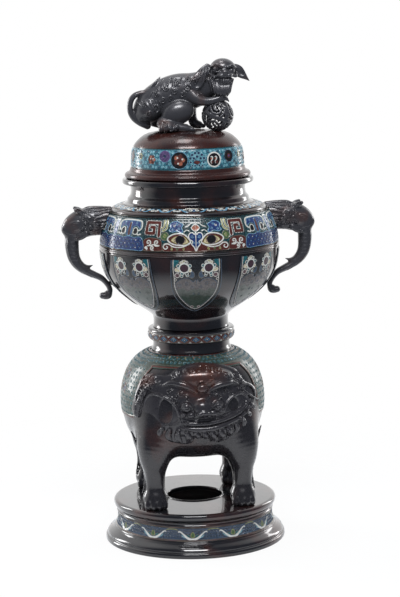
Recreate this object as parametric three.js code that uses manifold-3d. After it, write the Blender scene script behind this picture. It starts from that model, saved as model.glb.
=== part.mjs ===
// A three-tier incense burner in patinated bronze with champleve enamel: a turned plinth, a stand cast as a beast,
// a bowl with two beast-head handles, and a lid crowned by a lion that holds an openwork ball.
// Millimetres, +Z up, the origin on the floor under the axis, the beast's face towards -Y.
import * as THREE from "three";
import { mergeVertices } from "three/addons/utils/BufferGeometryUtils.js";
import Module from "manifold-3d";

const wasm = await Module();
wasm.setup();

// Driving sizes, tier by tier from the floor
const seatGap = 0.3; // between two castings that touch
const holeClearance = 0.3; // round every screw, bolt, stud and peg
const overrun = 3; // how far a cut runs past the face it opens
const enamel = { thickness: 1 };

const plinth = {
  radius: 131.5,
  height: 60,
  footHeight: 21.5,
  footReach: 18.2,
  bandTop: 41.5,
  lipReach: 5.2,
  lipHeight: 12,
  wall: 4,
  plateThickness: 5,
  openingRadius: 40,
  beadRadius: 1.6,
};
const stand = {
  radius: 103.5,
  bellyGap: 66,
  bodyHeight: 152,
  shoulderRadius: 58,
  mouthRadius: 46,
  wall: 3.5,
  legInset: 20.2,
  pawRadius: 18,
};
const cloth = { drop: 14, flapDrop: 88, flapWidth: 118 };
const mask = { level: 89, thickness: 3 };
const collar = { radius: 55.5, height: 15.7, flare: 2.4, wall: 5 };
const ring = { radius: 62.8, height: 17.7, seatRadius: 56.2, bore: 45 };
const bowl = {
  radius: 128.6,
  lowerHeight: 99,
  footRadius: 54.3,
  footHeight: 17,
  footWall: 5,
  wall: 3.5,
  waistHeight: 6,
  waistRise: 1.2,
  shoulderHeight: 60,
  neckShare: 0.638,
  neckHeight: 25,
};
const lappet = { count: 8, width: 71, drop: 3, length: 80, thickness: 0.8 };
const mouth = { radius: 94, height: 8.6, bore: 76 };
const handle = {
  height: 136,
  headWidth: 35,
  trunkWidth: 17,
  pegRadius: 3,
  screwRadius: 3,
  screwHead: 6,
  screwGrip: 18,
};
const lid = {
  radius: 81.4,
  height: 67.3,
  flangeRadius: 90.3,
  flangeHeight: 8,
  wall: 3.2,
  ringDepth: 9,
  ringWall: 2.6,
  ringClearance: 0.6,
  ventRadius: 9,
};
const lion = { height: 102 };
const ball = { radius: 23, ribbon: 2.2, windowRibbon: 1.8, bossRadius: 6, bossHeight: 5 };
const pawScrew = { radius: 3, head: 6, headHeight: 4, grip: 14 };
const tie = { radius: 4, head: 9, headHeight: 6, washer: 15, washerHeight: 2, barWidth: 16, barHeight: 7, bearing: 12 };
const stud = { radius: 2.2, grip: 9, nut: 5, nutHeight: 4 };
const sides = { turned: 20, head: 8, limb: 6, ridge: 5, spur: 4, pebble: 7, shank: 8, hexagon: 6 };

// Radii that follow from the sizes above
const plinthWaist = plinth.radius - plinth.footReach;
const innerRadius = plinthWaist - plinth.wall;
const legReach = (innerRadius - stand.legInset) * Math.SQRT1_2;
const neckRadius = bowl.radius * bowl.neckShare;

// Levels up the axis, each worked out from the tier below it
const plateTop = plinth.height;
const belly = plateTop + stand.bellyGap;
const standTop = belly + stand.bodyHeight;
const collarBase = standTop + seatGap;
const ringBase = collarBase + collar.height + seatGap;
const footBase = ringBase + ring.height + seatGap;
const bowlBase = footBase + bowl.footHeight;
const waistBase = bowlBase + bowl.lowerHeight;
const shoulderBase = waistBase + bowl.waistHeight;
const neckBase = shoulderBase + bowl.shoulderHeight;
const mouthBase = neckBase + bowl.neckHeight + seatGap;
const lidBase = mouthBase + mouth.height + seatGap;
const crown = lidBase + lid.height;

// Each finish's colour, and how rough and how metallic it is
const finishes = {
  bronze: { color: 0x241c1a, roughness: 0.32, metalness: 0.85 },
  castBronze: { color: 0x2c2826, roughness: 0.42, metalness: 0.85 },
  turquoise: { color: 0x3f8f9c, roughness: 0.25, metalness: 0 },
  cobalt: { color: 0x2b4a8c, roughness: 0.25, metalness: 0 },
  celadon: { color: 0x4d5c55, roughness: 0.3, metalness: 0 },
  steel: { color: 0x6b6863, roughness: 0.5, metalness: 0.9 },
};
const materials = Object.fromEntries(
  Object.entries(finishes).map(([name, finish]) => [name, new THREE.MeshStandardMaterial({ name, ...finish })]),
);

// Solids
const mergeDistance = 1e-4;

/** A closed geometry as a solid that can be joined and cut. */
function solidOf(geometry) {
  const bare = geometry.index ? geometry.toNonIndexed() : geometry;
  const shape = new THREE.BufferGeometry().setAttribute("position", bare.getAttribute("position"));
  const merged = mergeVertices(shape, mergeDistance);
  const corners = merged.index.array;
  const kept = [];
  for (let i = 0; i < corners.length; i += 3) {
    const [a, b, c] = corners.slice(i, i + 3);
    if (a !== b && b !== c && a !== c) kept.push(a, b, c);
  }
  const vertProperties = merged.attributes.position.array;
  return new wasm.Manifold(new wasm.Mesh({ numProp: 3, vertProperties, triVerts: new Uint32Array(kept) }));
}

/** A solid as a geometry with flat faces. */
function geometryOf(solid) {
  const mesh = solid.getMesh();
  const geometry = new THREE.BufferGeometry()
    .setAttribute("position", new THREE.BufferAttribute(mesh.vertProperties, mesh.numProp))
    .setIndex(new THREE.BufferAttribute(mesh.triVerts, 1))
    .toNonIndexed();
  geometry.computeVertexNormals();
  return geometry;
}

/** One solid from several that meet. */
const join = (...solids) => solids.flat(2).reduce((whole, next) => whole.add(next));

/** The first solid less all the others. */
const cut = (solid, ...tools) => tools.flat(2).reduce((whole, tool) => whole.subtract(tool), solid);

/** A solid turned round the Z axis by an angle in radians. */
const spun = (solid, angle) => solid.rotate([0, 0, THREE.MathUtils.radToDeg(angle)]);

/** A closed outline of [radius, level] points, in either direction, turned round the Z axis. */
function turned(outline, count = sides.turned) {
  const shape = outline.map(([r, z]) => new THREE.Vector2(r, z));
  if (THREE.ShapeUtils.isClockWise(shape)) shape.reverse();
  return solidOf(new THREE.LatheGeometry([...shape, shape[0]], count).rotateX(Math.PI / 2));
}

/** A round bar between two points. */
function bar(from, to, radius, count = sides.shank) {
  const start = new THREE.Vector3(...from);
  const along = new THREE.Vector3(...to).sub(start);
  const turn = new THREE.Quaternion().setFromUnitVectors(new THREE.Vector3(0, 1, 0), along.clone().normalize());
  const geometry = new THREE.CylinderGeometry(radius, radius, along.length(), count).applyQuaternion(turn);
  return solidOf(geometry.translate(...start.addScaledVector(along, 1 / 2)));
}

/** An upright bar over a place, between two levels. */
const post = ([x, y], from, to, radius, count) => bar([x, y, from], [x, y, to], radius, count);

/** The clearance hole for an upright screw, bolt or stud. */
const boreFor = (place, from, to, { radius }) => post(place, from, to, radius + holeClearance);

/** An upright tube over a place, with a bore that clears what runs through it. */
function sleeve(place, from, to, radius, shank, count) {
  return cut(post(place, from, to, radius, count), boreFor(place, from - overrun, to + overrun, shank));
}

/** An upright screw or bolt: its shank between two levels, and its head beyond the first. */
function bolt(place, headLevel, endLevel, { radius, head, headHeight }) {
  const beyond = headLevel - Math.sign(endLevel - headLevel) * headHeight;
  return join(post(place, headLevel, endLevel, radius), post(place, headLevel, beyond, head));
}

/** An ellipsoid with its three radii, turned about its own axes by angles in radians. */
function pebble(middle, radii, turn = [0, 0, 0], count = sides.pebble) {
  const place = new THREE.Matrix4().compose(
    new THREE.Vector3(...middle),
    new THREE.Quaternion().setFromEuler(new THREE.Euler(...turn)),
    new THREE.Vector3(...radii),
  );
  const rows = Math.ceil(count / 2);
  return solidOf(new THREE.SphereGeometry(1, count, rows).rotateX(Math.PI / 2).applyMatrix4(place));
}

/** A small round knob. */
const knob = (middle, radius) => pebble(middle, [radius, radius, radius], [0, 0, 0], sides.hexagon);

/** A closed body through rings of points, each end closed by a fan. */
function loft(rings) {
  const count = rings[0].length;
  const points = rings.flat();
  const faces = [];
  for (let k = 0; k + 1 < rings.length; k++)
    for (let i = 0; i < count; i++) {
      const [a, b] = [k * count + i, k * count + ((i + 1) % count)];
      faces.push(a, b, b + count, a, b + count, a + count);
    }
  for (const [ring, flip] of [[0, true], [rings.length - 1, false]]) {
    const middle = rings[ring].reduce((sum, p) => sum.add(p), new THREE.Vector3()).divideScalar(count);
    points.push(middle);
    for (let i = 0; i < count; i++) {
      const edge = [ring * count + i, ring * count + ((i + 1) % count)];
      faces.push(...(flip ? edge.reverse() : edge), points.length - 1);
    }
  }
  return solidOf(new THREE.BufferGeometry().setFromPoints(points).setIndex(faces));
}

const domeShare = Math.SQRT1_2;

/**
 * A limb: stations of [x, y, z, half width, half height] joined by a smooth curve, with domed ends.
 * The half width lies along the side direction, and the half height square to it and to the limb.
 */
function limb(stations, side, count = sides.limb) {
  const path = new THREE.CatmullRomCurve3(stations.map(([x, y, z]) => new THREE.Vector3(x, y, z)));
  const girth = new THREE.CatmullRomCurve3(stations.map(([, , , w, h]) => new THREE.Vector3(w, h ?? w, 0)));
  const ringAt = (t, shrink, push) => {
    const along = path.getTangent(t);
    const across = new THREE.Vector3(...side);
    across.addScaledVector(along, -across.dot(along)).normalize();
    const up = new THREE.Vector3().crossVectors(across, along);
    const { x: w, y: h } = girth.getPoint(t);
    const middle = path.getPoint(t).addScaledVector(along, push * Math.min(w, h));
    return Array.from({ length: count }, (_, i) => {
      const angle = (-2 * Math.PI * i) / count;
      const [a, b] = [shrink * w * Math.cos(angle), shrink * h * Math.sin(angle)];
      return middle.clone().addScaledVector(across, a).addScaledVector(up, b);
    });
  };
  const rings = stations.map((_, k) => ringAt(k / (stations.length - 1), 1, 0));
  return loft([ringAt(0, domeShare, -domeShare), ...rings, ringAt(1, domeShare, domeShare)]);
}

/** A flat outline of [x, z] points made solid between two levels of Y. */
function cutter(outline, fromY, toY) {
  const shape = new THREE.Shape(outline.map(([x, z]) => new THREE.Vector2(x, z)));
  const geometry = new THREE.ExtrudeGeometry(shape, { depth: toY - fromY, bevelEnabled: false });
  return solidOf(geometry.rotateX(Math.PI / 2).translate(0, toY, 0));
}

// Profiles, as lists of [radius, level] points
/** Shares of a width and a height, as points from a corner. */
const placed = (shares, [r, z], [width, height]) => shares.map(([a, b]) => [r + a * width, z + b * height]);

/** Points spaced evenly along a smooth curve through a profile. */
function smooth(points) {
  const curve = new THREE.SplineCurve(points.map(([r, z]) => new THREE.Vector2(r, z)));
  return curve.getSpacedPoints(points.length - 1).map((p) => [p.x, p.y]);
}

/** A profile that runs upwards, moved square to itself: outwards when the distance is positive. */
function offset(points, distance) {
  return points.map(([r, z], i) => {
    const [fromR, fromZ] = points[Math.max(i - 1, 0)];
    const [toR, toZ] = points[Math.min(i + 1, points.length - 1)];
    const length = Math.hypot(toR - fromR, toZ - fromZ);
    return [r + (distance * (toZ - fromZ)) / length, z - (distance * (toR - fromR)) / length];
  });
}

/** The radius of an upward profile at a level. */
function radiusAt(points, level) {
  const found = points.findIndex(([, z]) => z >= level);
  const above = found < 0 ? points.length - 1 : Math.max(1, found);
  const [[r0, z0], [r1, z1]] = [points[above - 1], points[above]];
  return r0 + ((r1 - r0) * (level - z0)) / (z1 - z0);
}

/** The level of an inward profile at a distance from the axis. */
const levelAt = (points, radius) => radiusAt(points.map(([r, z]) => [z, -r]), -radius);

/** A profile with both ends drawn in by the seat gap. */
function trimmed(points) {
  const pull = ([r, z], [toR, toZ]) => {
    const share = seatGap / Math.hypot(toR - r, toZ - z);
    return [r + share * (toR - r), z + share * (toZ - z)];
  };
  return [pull(points[0], points[1]), ...points.slice(1, -1), pull(points.at(-1), points.at(-2))];
}

/** How much of a turned wall's radius is left at the middle of its facets. */
const facetShare = Math.cos(Math.PI / sides.turned);
const everyOther = (points) => points.filter((_, i) => i % 2 === 0);
const bedDepth = enamel.thickness + seatGap;

/** The bed of an enamel band, sunk into the wall that carries it. */
const bedOf = (points) => [points[0], ...offset(points, -bedDepth), points.at(-1)];

/** An enamel band as a ring of its own, flush with the wall round it. */
function enamelBand(points) {
  const face = trimmed(points);
  return turned([...face, ...offset(face, -enamel.thickness).reverse()]);
}

/** The shell between two offsets of a profile. */
const skin = (points, inner, outer) => turned([...offset(points, outer), ...offset(points, inner).reverse()]);

// Plinth: a skirt with an enamelled waist, and the plate that the stand is screwed to
const footSpan = plinth.footReach;
const plinthFootShares = [[0, 0], [0, 0.27], [-0.42, 0.58], [-0.58, 0.78], [-0.84, 1]];
const plinthFoot = placed(plinthFootShares, [plinth.radius, 0], [footSpan, plinth.footHeight]);
const plinthBandShares = [[-0.84, 0], [-1, 0.5], [-0.97, 1]];
const bandHeight = plinth.bandTop - plinth.footHeight;
const plinthBand = placed(plinthBandShares, [plinth.radius, plinth.footHeight], [footSpan, bandHeight]);
const lipBase = plateTop - plinth.lipHeight;
const plateUnder = plateTop - plinth.plateThickness;

function plinthSkirt() {
  const top = lipBase - seatGap;
  const outside = [...plinthFoot.slice(0, -1), ...bedOf(plinthBand), [plinthWaist + bedDepth, top]];
  const inside = [[innerRadius, top], [innerRadius, plinth.footHeight], [plinth.radius - plinth.wall, 0]];
  return turned([...outside, ...inside]);
}

const lipShares = [[-0.5, 0], [-0.06, 0.35], [0, 0.7], [-0.4, 1]];
function plinthPlate() {
  const { lipReach, lipHeight, openingRadius, beadRadius } = plinth;
  const lip = placed(lipShares, [plinthWaist + lipReach, lipBase], [lipHeight, lipHeight]);
  const bead = [[openingRadius + 2 * beadRadius, plateTop], [openingRadius + beadRadius, plateTop + beadRadius]];
  const hole = [[openingRadius, plateTop], [openingRadius, plateUnder]];
  const plate = turned([...lip, ...bead, ...hole, [innerRadius, plateUnder], [innerRadius, lipBase]]);
  return cut(plate, legPlaces.map((place) => boreFor(place, plateUnder - overrun, plateTop + overrun, pawScrew)));
}

// Stand: a hollow round body on four legs, with an enamelled saddle cloth let into its back
const legSigns = [[-1, -1], [1, -1], [-1, 1], [1, 1]];
const legPlaces = legSigns.map(([x, y]) => [x * legReach, y * legReach]);
const globeShares = [
  [0, 0], [0.4, 0.01], [0.72, 0.07], [0.9, 0.2], [0.98, 0.37], [1, 0.54], [0.97, 0.71], [0.885, 0.85],
  [0.657, 0.99],
];
const globe = smooth(placed(globeShares, [0, belly], [stand.radius, stand.bodyHeight]));
const standLining = everyOther(offset(globe, -stand.wall - bedDepth).slice(1, -1));
const standUnder = standLining.at(-1)[1];

/** The outer form of the stand's body as a solid block, grown by a distance. */
function globeBlock(grow) {
  const grown = offset(globe, grow).slice(1);
  return turned([[0, belly - grow], ...grown, [stand.shoulderRadius, standTop + grow], [0, standTop + grow]]);
}

const shaftShares = [[0.74, 1.95, 0.36], [0.9, 1.5, 0.3], [0.99, 1.08, 0.2]];
const pawShares = [[0.66, 0.8], [0.42, 0.84], [0.16, 1.06], [-0.1, 0.9]];
const toeShare = 0.34;
const toeShares = [[-0.6, 0.76], [0, 0.98], [0.6, 0.76]];
/** A leg's shaft, which tapers out of the body and swells into a paw, grown by a distance. */
function legShaft([signX, signY], grow) {
  const { pawRadius, radius, bellyGap } = stand;
  const [x, y] = [signX * legReach, signY * legReach];
  const shaft = shaftShares.map(([out, up, girth]) => [x * out, y * out, plateTop + bellyGap * up, radius * girth + grow]);
  const paw = pawShares.map(([up, girth]) => [x, y, plateTop + bellyGap * up, pawRadius * girth + grow]);
  return limb([...shaft, ...paw], [1, 0, 0]);
}

/** A leg: its shaft and paw, with three toes towards the front. */
function leg([signX, signY]) {
  const { pawRadius } = stand;
  const toe = pawRadius * toeShare;
  const [x, y, z] = [signX * legReach, signY * legReach, plateTop + toe];
  const toes = toeShares.map(([a, b]) => knob([x + a * pawRadius, y - b * pawRadius, z], toe));
  return join(legShaft([signX, signY], 0), toes);
}

/** What lies below the plate's top, for cutting the feet flat. */
function belowPlate() {
  const [reach, top] = [2 * stand.radius, plateTop + seatGap];
  return turned([[0, 0], [reach, 0], [reach, top], [0, top]]);
}

function standBody() {
  const { mouthRadius, wall } = stand;
  const mouthTop = standTop + overrun;
  const throat = [[mouthRadius, standUnder], [mouthRadius, mouthTop], [0, mouthTop]];
  const hollow = turned([[0, belly + wall], ...standLining, ...throat]);
  const gripTop = plateTop + pawScrew.grip + holeClearance;
  const grips = legPlaces.map((place) => boreFor(place, plateTop - overrun, gripTop, pawScrew));
  const whole = join(globeBlock(0), legSigns.map(leg));
  return cut(whole, hollow, clothShell(0, -bedDepth, overrun), belowPlate(), grips);
}

const flapShares = [
  [-0.5, -0.2], [0.5, -0.2], [0.5, 0.78], [0.42, 0.94], [0.3, 1], [-0.3, 1], [-0.42, 0.94], [-0.5, 0.78],
];
/** The saddle cloth: a band round the shoulder with a flap down each flank, as a shell of the body's form. */
function clothShell(shrink, inner, outer) {
  const { drop, flapDrop, flapWidth } = cloth;
  const top = globe.at(-1)[1];
  const [width, length] = [flapWidth - 2 * shrink, flapDrop - shrink];
  const outline = flapShares.map(([a, b]) => [a * width, top - b * length]);
  const reach = 2 * stand.radius;
  const flaps = spun(cutter(outline, -reach, reach), Math.PI / 2);
  const base = top - drop + shrink;
  const band = turned([[0, base], [reach, base], [reach, standTop], [0, standTop]]);
  const upper = globe.filter(([, z]) => z > top - 2 * flapDrop);
  return join(band, flaps).intersect(skin(shrink ? trimmed(upper) : upper, inner, outer));
}

// The beast's mask, laid over the front of the body. Its places are shares of the body's radius: across, up
// from the mask's level, and out from the body's face.
const maskLevel = belly + mask.level;
function onMask([across, up, out = 0]) {
  const [x, z] = [across * stand.radius, maskLevel + up * stand.radius];
  const radius = radiusAt(globe, z) + out * stand.radius;
  return [x, -Math.sqrt(Math.max(radius ** 2 - x ** 2, 0)), z];
}
const maskOutlineShares = [
  [0, -0.5], [0.22, -0.46], [0.44, -0.28], [0.76, -0.06], [0.8, 0.06], [0.56, 0.22], [0.54, 0.38], [0.34, 0.48],
  [-0.34, 0.48], [-0.54, 0.38], [-0.56, 0.22], [-0.8, 0.06], [-0.76, -0.06], [-0.44, -0.28], [-0.22, -0.46],
];
const maskMassShares = [
  { at: [0, 0.38, -0.08], size: [0.33, 0.2, 0.15] }, // forehead
  { at: [0, 0, 0.03], size: [0.13, 0.13, 0.11] }, // muzzle
  { at: [0, 0.03, 0.14], size: [0.09, 0.04, 0.04] }, // nose
  { at: [0, -0.3, 0], size: [0.22, 0.12, 0.08] }, // chin
];
const maskPairShares = [
  { at: [0.2, 0.12, 0.04], size: [0.085, 0.08, 0.065] }, // eyes
];
const maskKnobShares = [
  { at: [0, 0.21, 0.1], size: 0.065 }, // boss between the brows
  { at: [-0.54, 0.33, 0.02], size: 0.07 }, // curls at the temples
  { at: [0.54, 0.33, 0.02], size: 0.07 },
];
const upperLipShares = [
  [-0.34, -0.06, 0.04, 0.03], [-0.14, -0.15, 0.11, 0.035], [0.14, -0.15, 0.11, 0.035], [0.34, -0.06, 0.04, 0.03],
];
const lowerLipShares = [
  [-0.34, -0.13, 0.03, 0.025], [-0.13, -0.26, 0.07, 0.03], [0.13, -0.26, 0.07, 0.03], [0.34, -0.13, 0.03, 0.025],
];
const browShares = [
  [0.05, 0.16, 0.08, 0.035], [0.22, 0.26, 0.09, 0.05], [0.4, 0.23, 0.06, 0.04], [0.47, 0.12, 0.03, 0.025],
];
const earShares = [
  [0.43, 0.14, 0.05, 0.045], [0.66, 0.18, 0.08, 0.045], [0.82, 0.01, 0.06, 0.035], [0.62, -0.16, 0.05, 0.035],
  [0.4, -0.26, 0.03, 0.035],
];
const lockShares = { halfWidth: 0.34, level: -0.5, sag: 0.14, size: 0.07 };
const lockCount = 5;

/** A ridge on the mask through stations of [across, up, out, half width]. */
function maskRidge(stations) {
  const along = stations.map(([across, up, out, w]) => [...onMask([across, up, out]), w * stand.radius]);
  return limb(along, [0, -1, 0], sides.ridge);
}
const maskMass = ({ at, size }) => pebble(onMask(at), size.map((share) => share * stand.radius));
const maskKnob = ({ at, size }) => knob(onMask(at), size * stand.radius);
const mirrored = ([across, ...rest]) => [-across, ...rest];

/** The locks of the beard, in a row that sags towards the middle. */
function beard() {
  const { halfWidth, level, sag, size } = lockShares;
  return Array.from({ length: lockCount }, (_, i) => {
    const t = THREE.MathUtils.lerp(-1, 1, i / (lockCount - 1));
    return maskKnob({ at: [t * halfWidth, level + sag * t ** 2], size });
  });
}

function standMask() {
  const outline = maskOutlineShares.map(([x, z]) => [x * stand.radius, maskLevel + z * stand.radius]);
  const front = cutter(outline, -2 * stand.radius, -stand.radius / 2);
  const plate = front.intersect(globeBlock(seatGap + mask.thickness));
  const pairs = maskPairShares.flatMap(({ at, size }) => [at, mirrored(at)].map((place) => maskMass({ at: place, size })));
  const ridges = [browShares, earShares].flatMap((side) => [side, side.map(mirrored)].map((s) => maskRidge(s)));
  const lips = [upperLipShares, lowerLipShares].map((s) => maskRidge(s));
  const whole = join(plate, maskMassShares.map(maskMass), pairs, maskKnobShares.map(maskKnob), ridges, lips, beard());
  const frontLegs = legSigns.slice(0, 2).map((signs) => legShaft(signs, seatGap));
  return cut(whole, globeBlock(seatGap), frontLegs);
}

// Collar and ring between the stand and the bowl, and the tie that clamps the bowl down
const collarShares = [[1, 0], [1, 0.2], [0, 0.5], [0, 1]];
function standCollar() {
  const { radius, height, flare, wall } = collar;
  const outside = placed(collarShares, [radius, collarBase], [flare, height]);
  return turned([...outside, [radius - wall, collarBase + height], [radius - wall, collarBase]]);
}

const ringShares = [[0, 0], [0.7, 0.12], [1, 0.5], [0.7, 0.88], [0, 1]];
const ringOutline = placed(ringShares, [ring.seatRadius, ringBase], [ring.radius - ring.seatRadius, ring.height]);
const ringBand = ringOutline.slice(1, -1);

function collarRing() {
  const outside = [ringOutline[0], ...bedOf(ringBand), ringOutline.at(-1)];
  return turned([...outside, [ring.bore, ringBase + ring.height], [ring.bore, ringBase]]);
}

const tieBarTop = standUnder - seatGap;
const tieBarUnder = tieBarTop - tie.barHeight;
const bowlFloor = bowlBase + bowl.wall;
const washerTop = bowlFloor + seatGap + tie.washerHeight;

/** The bar across the underside of the stand's mouth, which the tie bolt pulls up against. */
function tieBar() {
  const length = 2 * (stand.mouthRadius + tie.bearing);
  const middle = (tieBarTop + tieBarUnder) / 2;
  const beam = solidOf(new THREE.BoxGeometry(length, tie.barWidth, tie.barHeight).translate(0, 0, middle));
  return cut(beam, boreFor([0, 0], tieBarUnder - overrun, tieBarTop + overrun, tie));
}

// Bowl: a deep lower half with enamelled petals, and a shoulder with its neck, joined under the bead at the waist
const lowerShares = [[0, 0], [0.33, 0.19], [0.66, 0.39], [0.88, 0.6], [0.98, 0.83], [1, 1]];
const bowlSpan = bowl.radius - bowl.footRadius;
const lower = smooth(placed(lowerShares, [bowl.footRadius, bowlBase], [bowlSpan, bowl.lowerHeight]));

function bowlLower() {
  const top = waistBase - seatGap;
  const outside = [[bowl.footRadius, footBase], ...lower.slice(0, -1), [bowl.radius, top]];
  const lining = everyOther(offset(lower, -bowl.wall)).slice(1, -1).reverse();
  const inside = [[bowl.radius - bowl.wall, top], ...lining, [bowl.footRadius, bowlFloor], [0, bowlFloor]];
  const hollow = bowl.footRadius - bowl.footWall;
  const shell = turned([...outside, ...inside, [0, bowlBase], [hollow, bowlBase], [hollow, footBase]]);
  const bore = boreFor([0, 0], bowlBase - overrun, bowlFloor + overrun, tie);
  return cut(shell, bore, handleSides.map((side) => handlePeg(side, holeClearance)));
}

const shoulderShares = [[1, 0], [0.97, 0.27], [0.85, 0.62], [0.67, 0.82], [0.58, 0.875], [0.25, 0.965], [0, 1]];
const shoulderSpan = bowl.radius - neckRadius;
const shoulder = placed(shoulderShares, [neckRadius, shoulderBase], [shoulderSpan, bowl.shoulderHeight]);
const maskBand = shoulder.slice(0, 4);
const scrollBand = shoulder.slice(4, 6);
const neckShares = [[0.05, 0.06], [0, 0.3], [-0.02, 0.6], [0.02, 1]];
const shoulderWall = bowl.wall + bedDepth;
const shoulderLining = [
  [bowl.radius - shoulderWall, shoulderBase + seatGap],
  ...everyOther(offset(shoulder, -shoulderWall)).slice(1, -1),
  [neckRadius - shoulderWall, neckBase - shoulderWall],
];

function bowlShoulder() {
  const base = shoulderBase + seatGap;
  const [, [bedRadius], ...bed] = bedOf(maskBand);
  const neck = placed(neckShares, [neckRadius, neckBase], [neckRadius, bowl.neckHeight]);
  const outside = [[bedRadius, base], ...bed, ...bedOf(scrollBand), ...neck];
  const shell = turned([...outside, [mouth.bore, neck.at(-1)[1]], ...shoulderLining.toReversed()]);
  return cut(shell, handleSides.map((side) => handleScrewBar(side, holeClearance)));
}

function maskBandEnamel() {
  return cut(enamelBand(maskBand), handleSides.map((side) => handleScrewBar(side, holeClearance)));
}

const beadShares = [[0, 0], [1, 0.5], [0, 1]];
/** The bead that covers the joint between the bowl's two halves. */
function waistBead() {
  const { waistHeight, waistRise, radius, wall } = bowl;
  const outside = placed(beadShares, [radius, waistBase], [waistRise, waistHeight]);
  return turned([...outside, [radius - wall, waistBase + waistHeight], [radius - wall, waistBase]]);
}

const lappetShares = [[-0.48, 0], [0.48, 0], [0.5, 0.4], [0.34, 0.78], [0, 1], [-0.34, 0.78], [-0.5, 0.4]];
/** One enamelled petal: the part of a skin over the lower bowl that lies inside a pointed outline. */
function lappetPanel(index) {
  const { width, drop, length, thickness, count } = lappet;
  const outline = lappetShares.map(([x, z]) => [x * width, waistBase - drop - z * length]);
  const pointed = spun(cutter(outline, -2 * bowl.radius, 0), (2 * Math.PI * index) / count);
  const panel = skin(lower, seatGap, seatGap + thickness).intersect(pointed);
  return cut(panel, handleSides.map((side) => handlePeg(side, holeClearance)));
}

const mouthShares = [[-1.1, 0], [0, 0.25], [0, 0.7], [-0.25, 1]];
function mouthRim() {
  const { radius, height, bore } = mouth;
  const outside = placed(mouthShares, [radius, mouthBase], [height, height]);
  return turned([...outside, [bore, mouthBase + height], [bore, mouthBase]]);
}

// Handles: a beast's head with small ears and a trunk that curls under. Places are shares of the handle's
// height, out from the bowl's widest and up from its waist, and girths are shares of the width and height.
const handleSides = [-1, 1];
const atHandle = (side, [out, up]) => [side * (bowl.radius + out * handle.height), 0, waistBase + up * handle.height];
const headShares = [
  [-0.1, 0.295, 0.47, 0.142], [0.084, 0.296, 0.49, 0.146], [0.179, 0.289, 0.48, 0.143], [0.26, 0.26, 0.4, 0.122],
  [0.325, 0.222, 0.27, 0.078],
];
const trunkShares = [
  [0.264, 0.204, 0.735, 0.088], [0.293, 0.115, 0.67, 0.075], [0.296, 0.031, 0.62, 0.073], [0.284, -0.068, 0.58, 0.066],
  [0.249, -0.142, 0.54, 0.059], [0.194, -0.199, 0.5, 0.051], [0.143, -0.238, 0.47, 0.04], [0.071, -0.274, 0.435, 0.036],
  [-0.004, -0.313, 0.4, 0.032], [-0.059, -0.37, 0.365, 0.028], [-0.091, -0.433, 0.34, 0.026],
  [-0.084, -0.485, 0.34, 0.026], [-0.051, -0.511, 0.35, 0.029], [-0.01, -0.502, 0.38, 0.038],
];
const spurShares = [[0.17, -0.185, 0.3, 0.024], [0.085, -0.172, 0.08, 0.006]];
const jawShares = [[0.08, 0.19, 0.36, 0.045], [0.18, 0.18, 0.4, 0.045], [0.26, 0.17, 0.36, 0.04]];
const ruffShares = [[-0.06, 0.3, 0.56, 0.15], [-0.01, 0.3, 0.56, 0.15]];
const headKnobShares = [
  { at: [0.235, 0.26, 0.385], size: 0.042 }, // ears
  { at: [0.25, 0.33, 0.245], size: 0.035 }, // eyes
];

/** One limb of a handle: the half widths are shares of a width, the half heights of the handle's height. */
function handleLimb(side, shares, width, count) {
  const stations = shares.map(([out, up, w, h]) => [...atHandle(side, [out, up]), w * width, h * handle.height]);
  return limb(stations, [0, 1, 0], count);
}

/** A pair of knobs on a handle's head, from shares of out, across and up. */
function headKnobs(side, { at: [out, across, up], size }) {
  const [x, , z] = atHandle(side, [out, up]);
  return [-1, 1].map((half) => knob([x, half * across * handle.headWidth, z], size * handle.height));
}

function handleBody(side) {
  const { headWidth, trunkWidth } = handle;
  const whole = join(
    handleLimb(side, headShares, headWidth, sides.head),
    handleLimb(side, jawShares, headWidth),
    handleLimb(side, ruffShares, headWidth, sides.head),
    handleLimb(side, trunkShares, trunkWidth),
    handleLimb(side, spurShares, trunkWidth, sides.spur),
    headKnobShares.map((pair) => headKnobs(side, pair)),
  );
  return cut(whole, bowlBlock(), handleScrewBar(side, holeClearance), handlePeg(side, holeClearance));
}

/** The bowl as a solid block, grown so that what is mounted on it clears its wall, bead and petals. */
function bowlBlock() {
  const grow = 2 * seatGap + lappet.thickness;
  const wall = [...offset(lower, grow), ...offset(shoulder, seatGap)];
  const proud = bowl.radius + bowl.waistRise + seatGap;
  const [low, high] = [waistBase - seatGap, shoulderBase + seatGap];
  return join(turned([[0, bowlBase], ...wall, [0, neckBase]]), turned([[0, low], [proud, low], [proud, high], [0, high]]));
}

const screwLevelShare = 0.31;
const screwLevel = waistBase + handle.height * screwLevelShare;
const screwSeat = radiusAt(shoulderLining, screwLevel + handle.screwHead) * facetShare - seatGap;
/** The shank of the screw that holds a handle from inside the bowl. */
function handleScrewBar(side, grow) {
  const tip = radiusAt(shoulder, screwLevel) + handle.screwGrip + grow;
  return bar([side * screwSeat, 0, screwLevel], [side * tip, 0, screwLevel], handle.screwRadius + grow);
}

function handleScrew(side) {
  const headEnd = screwSeat - handle.screwHead / 2;
  const head = bar([side * headEnd, 0, screwLevel], [side * screwSeat, 0, screwLevel], handle.screwHead);
  return join(head, handleScrewBar(side, 0));
}

const pegPlaceShares = trunkShares.at(-5);
/** The peg that steadies a handle's trunk against the lower bowl. */
function handlePeg(side, grow) {
  const [x, y, z] = atHandle(side, pegPlaceShares);
  const inner = radiusAt(lower, z) - bowl.wall / 2;
  return bar([side * (inner - grow), y, z], [x + side * grow, y, z], handle.pegRadius + grow);
}

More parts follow.
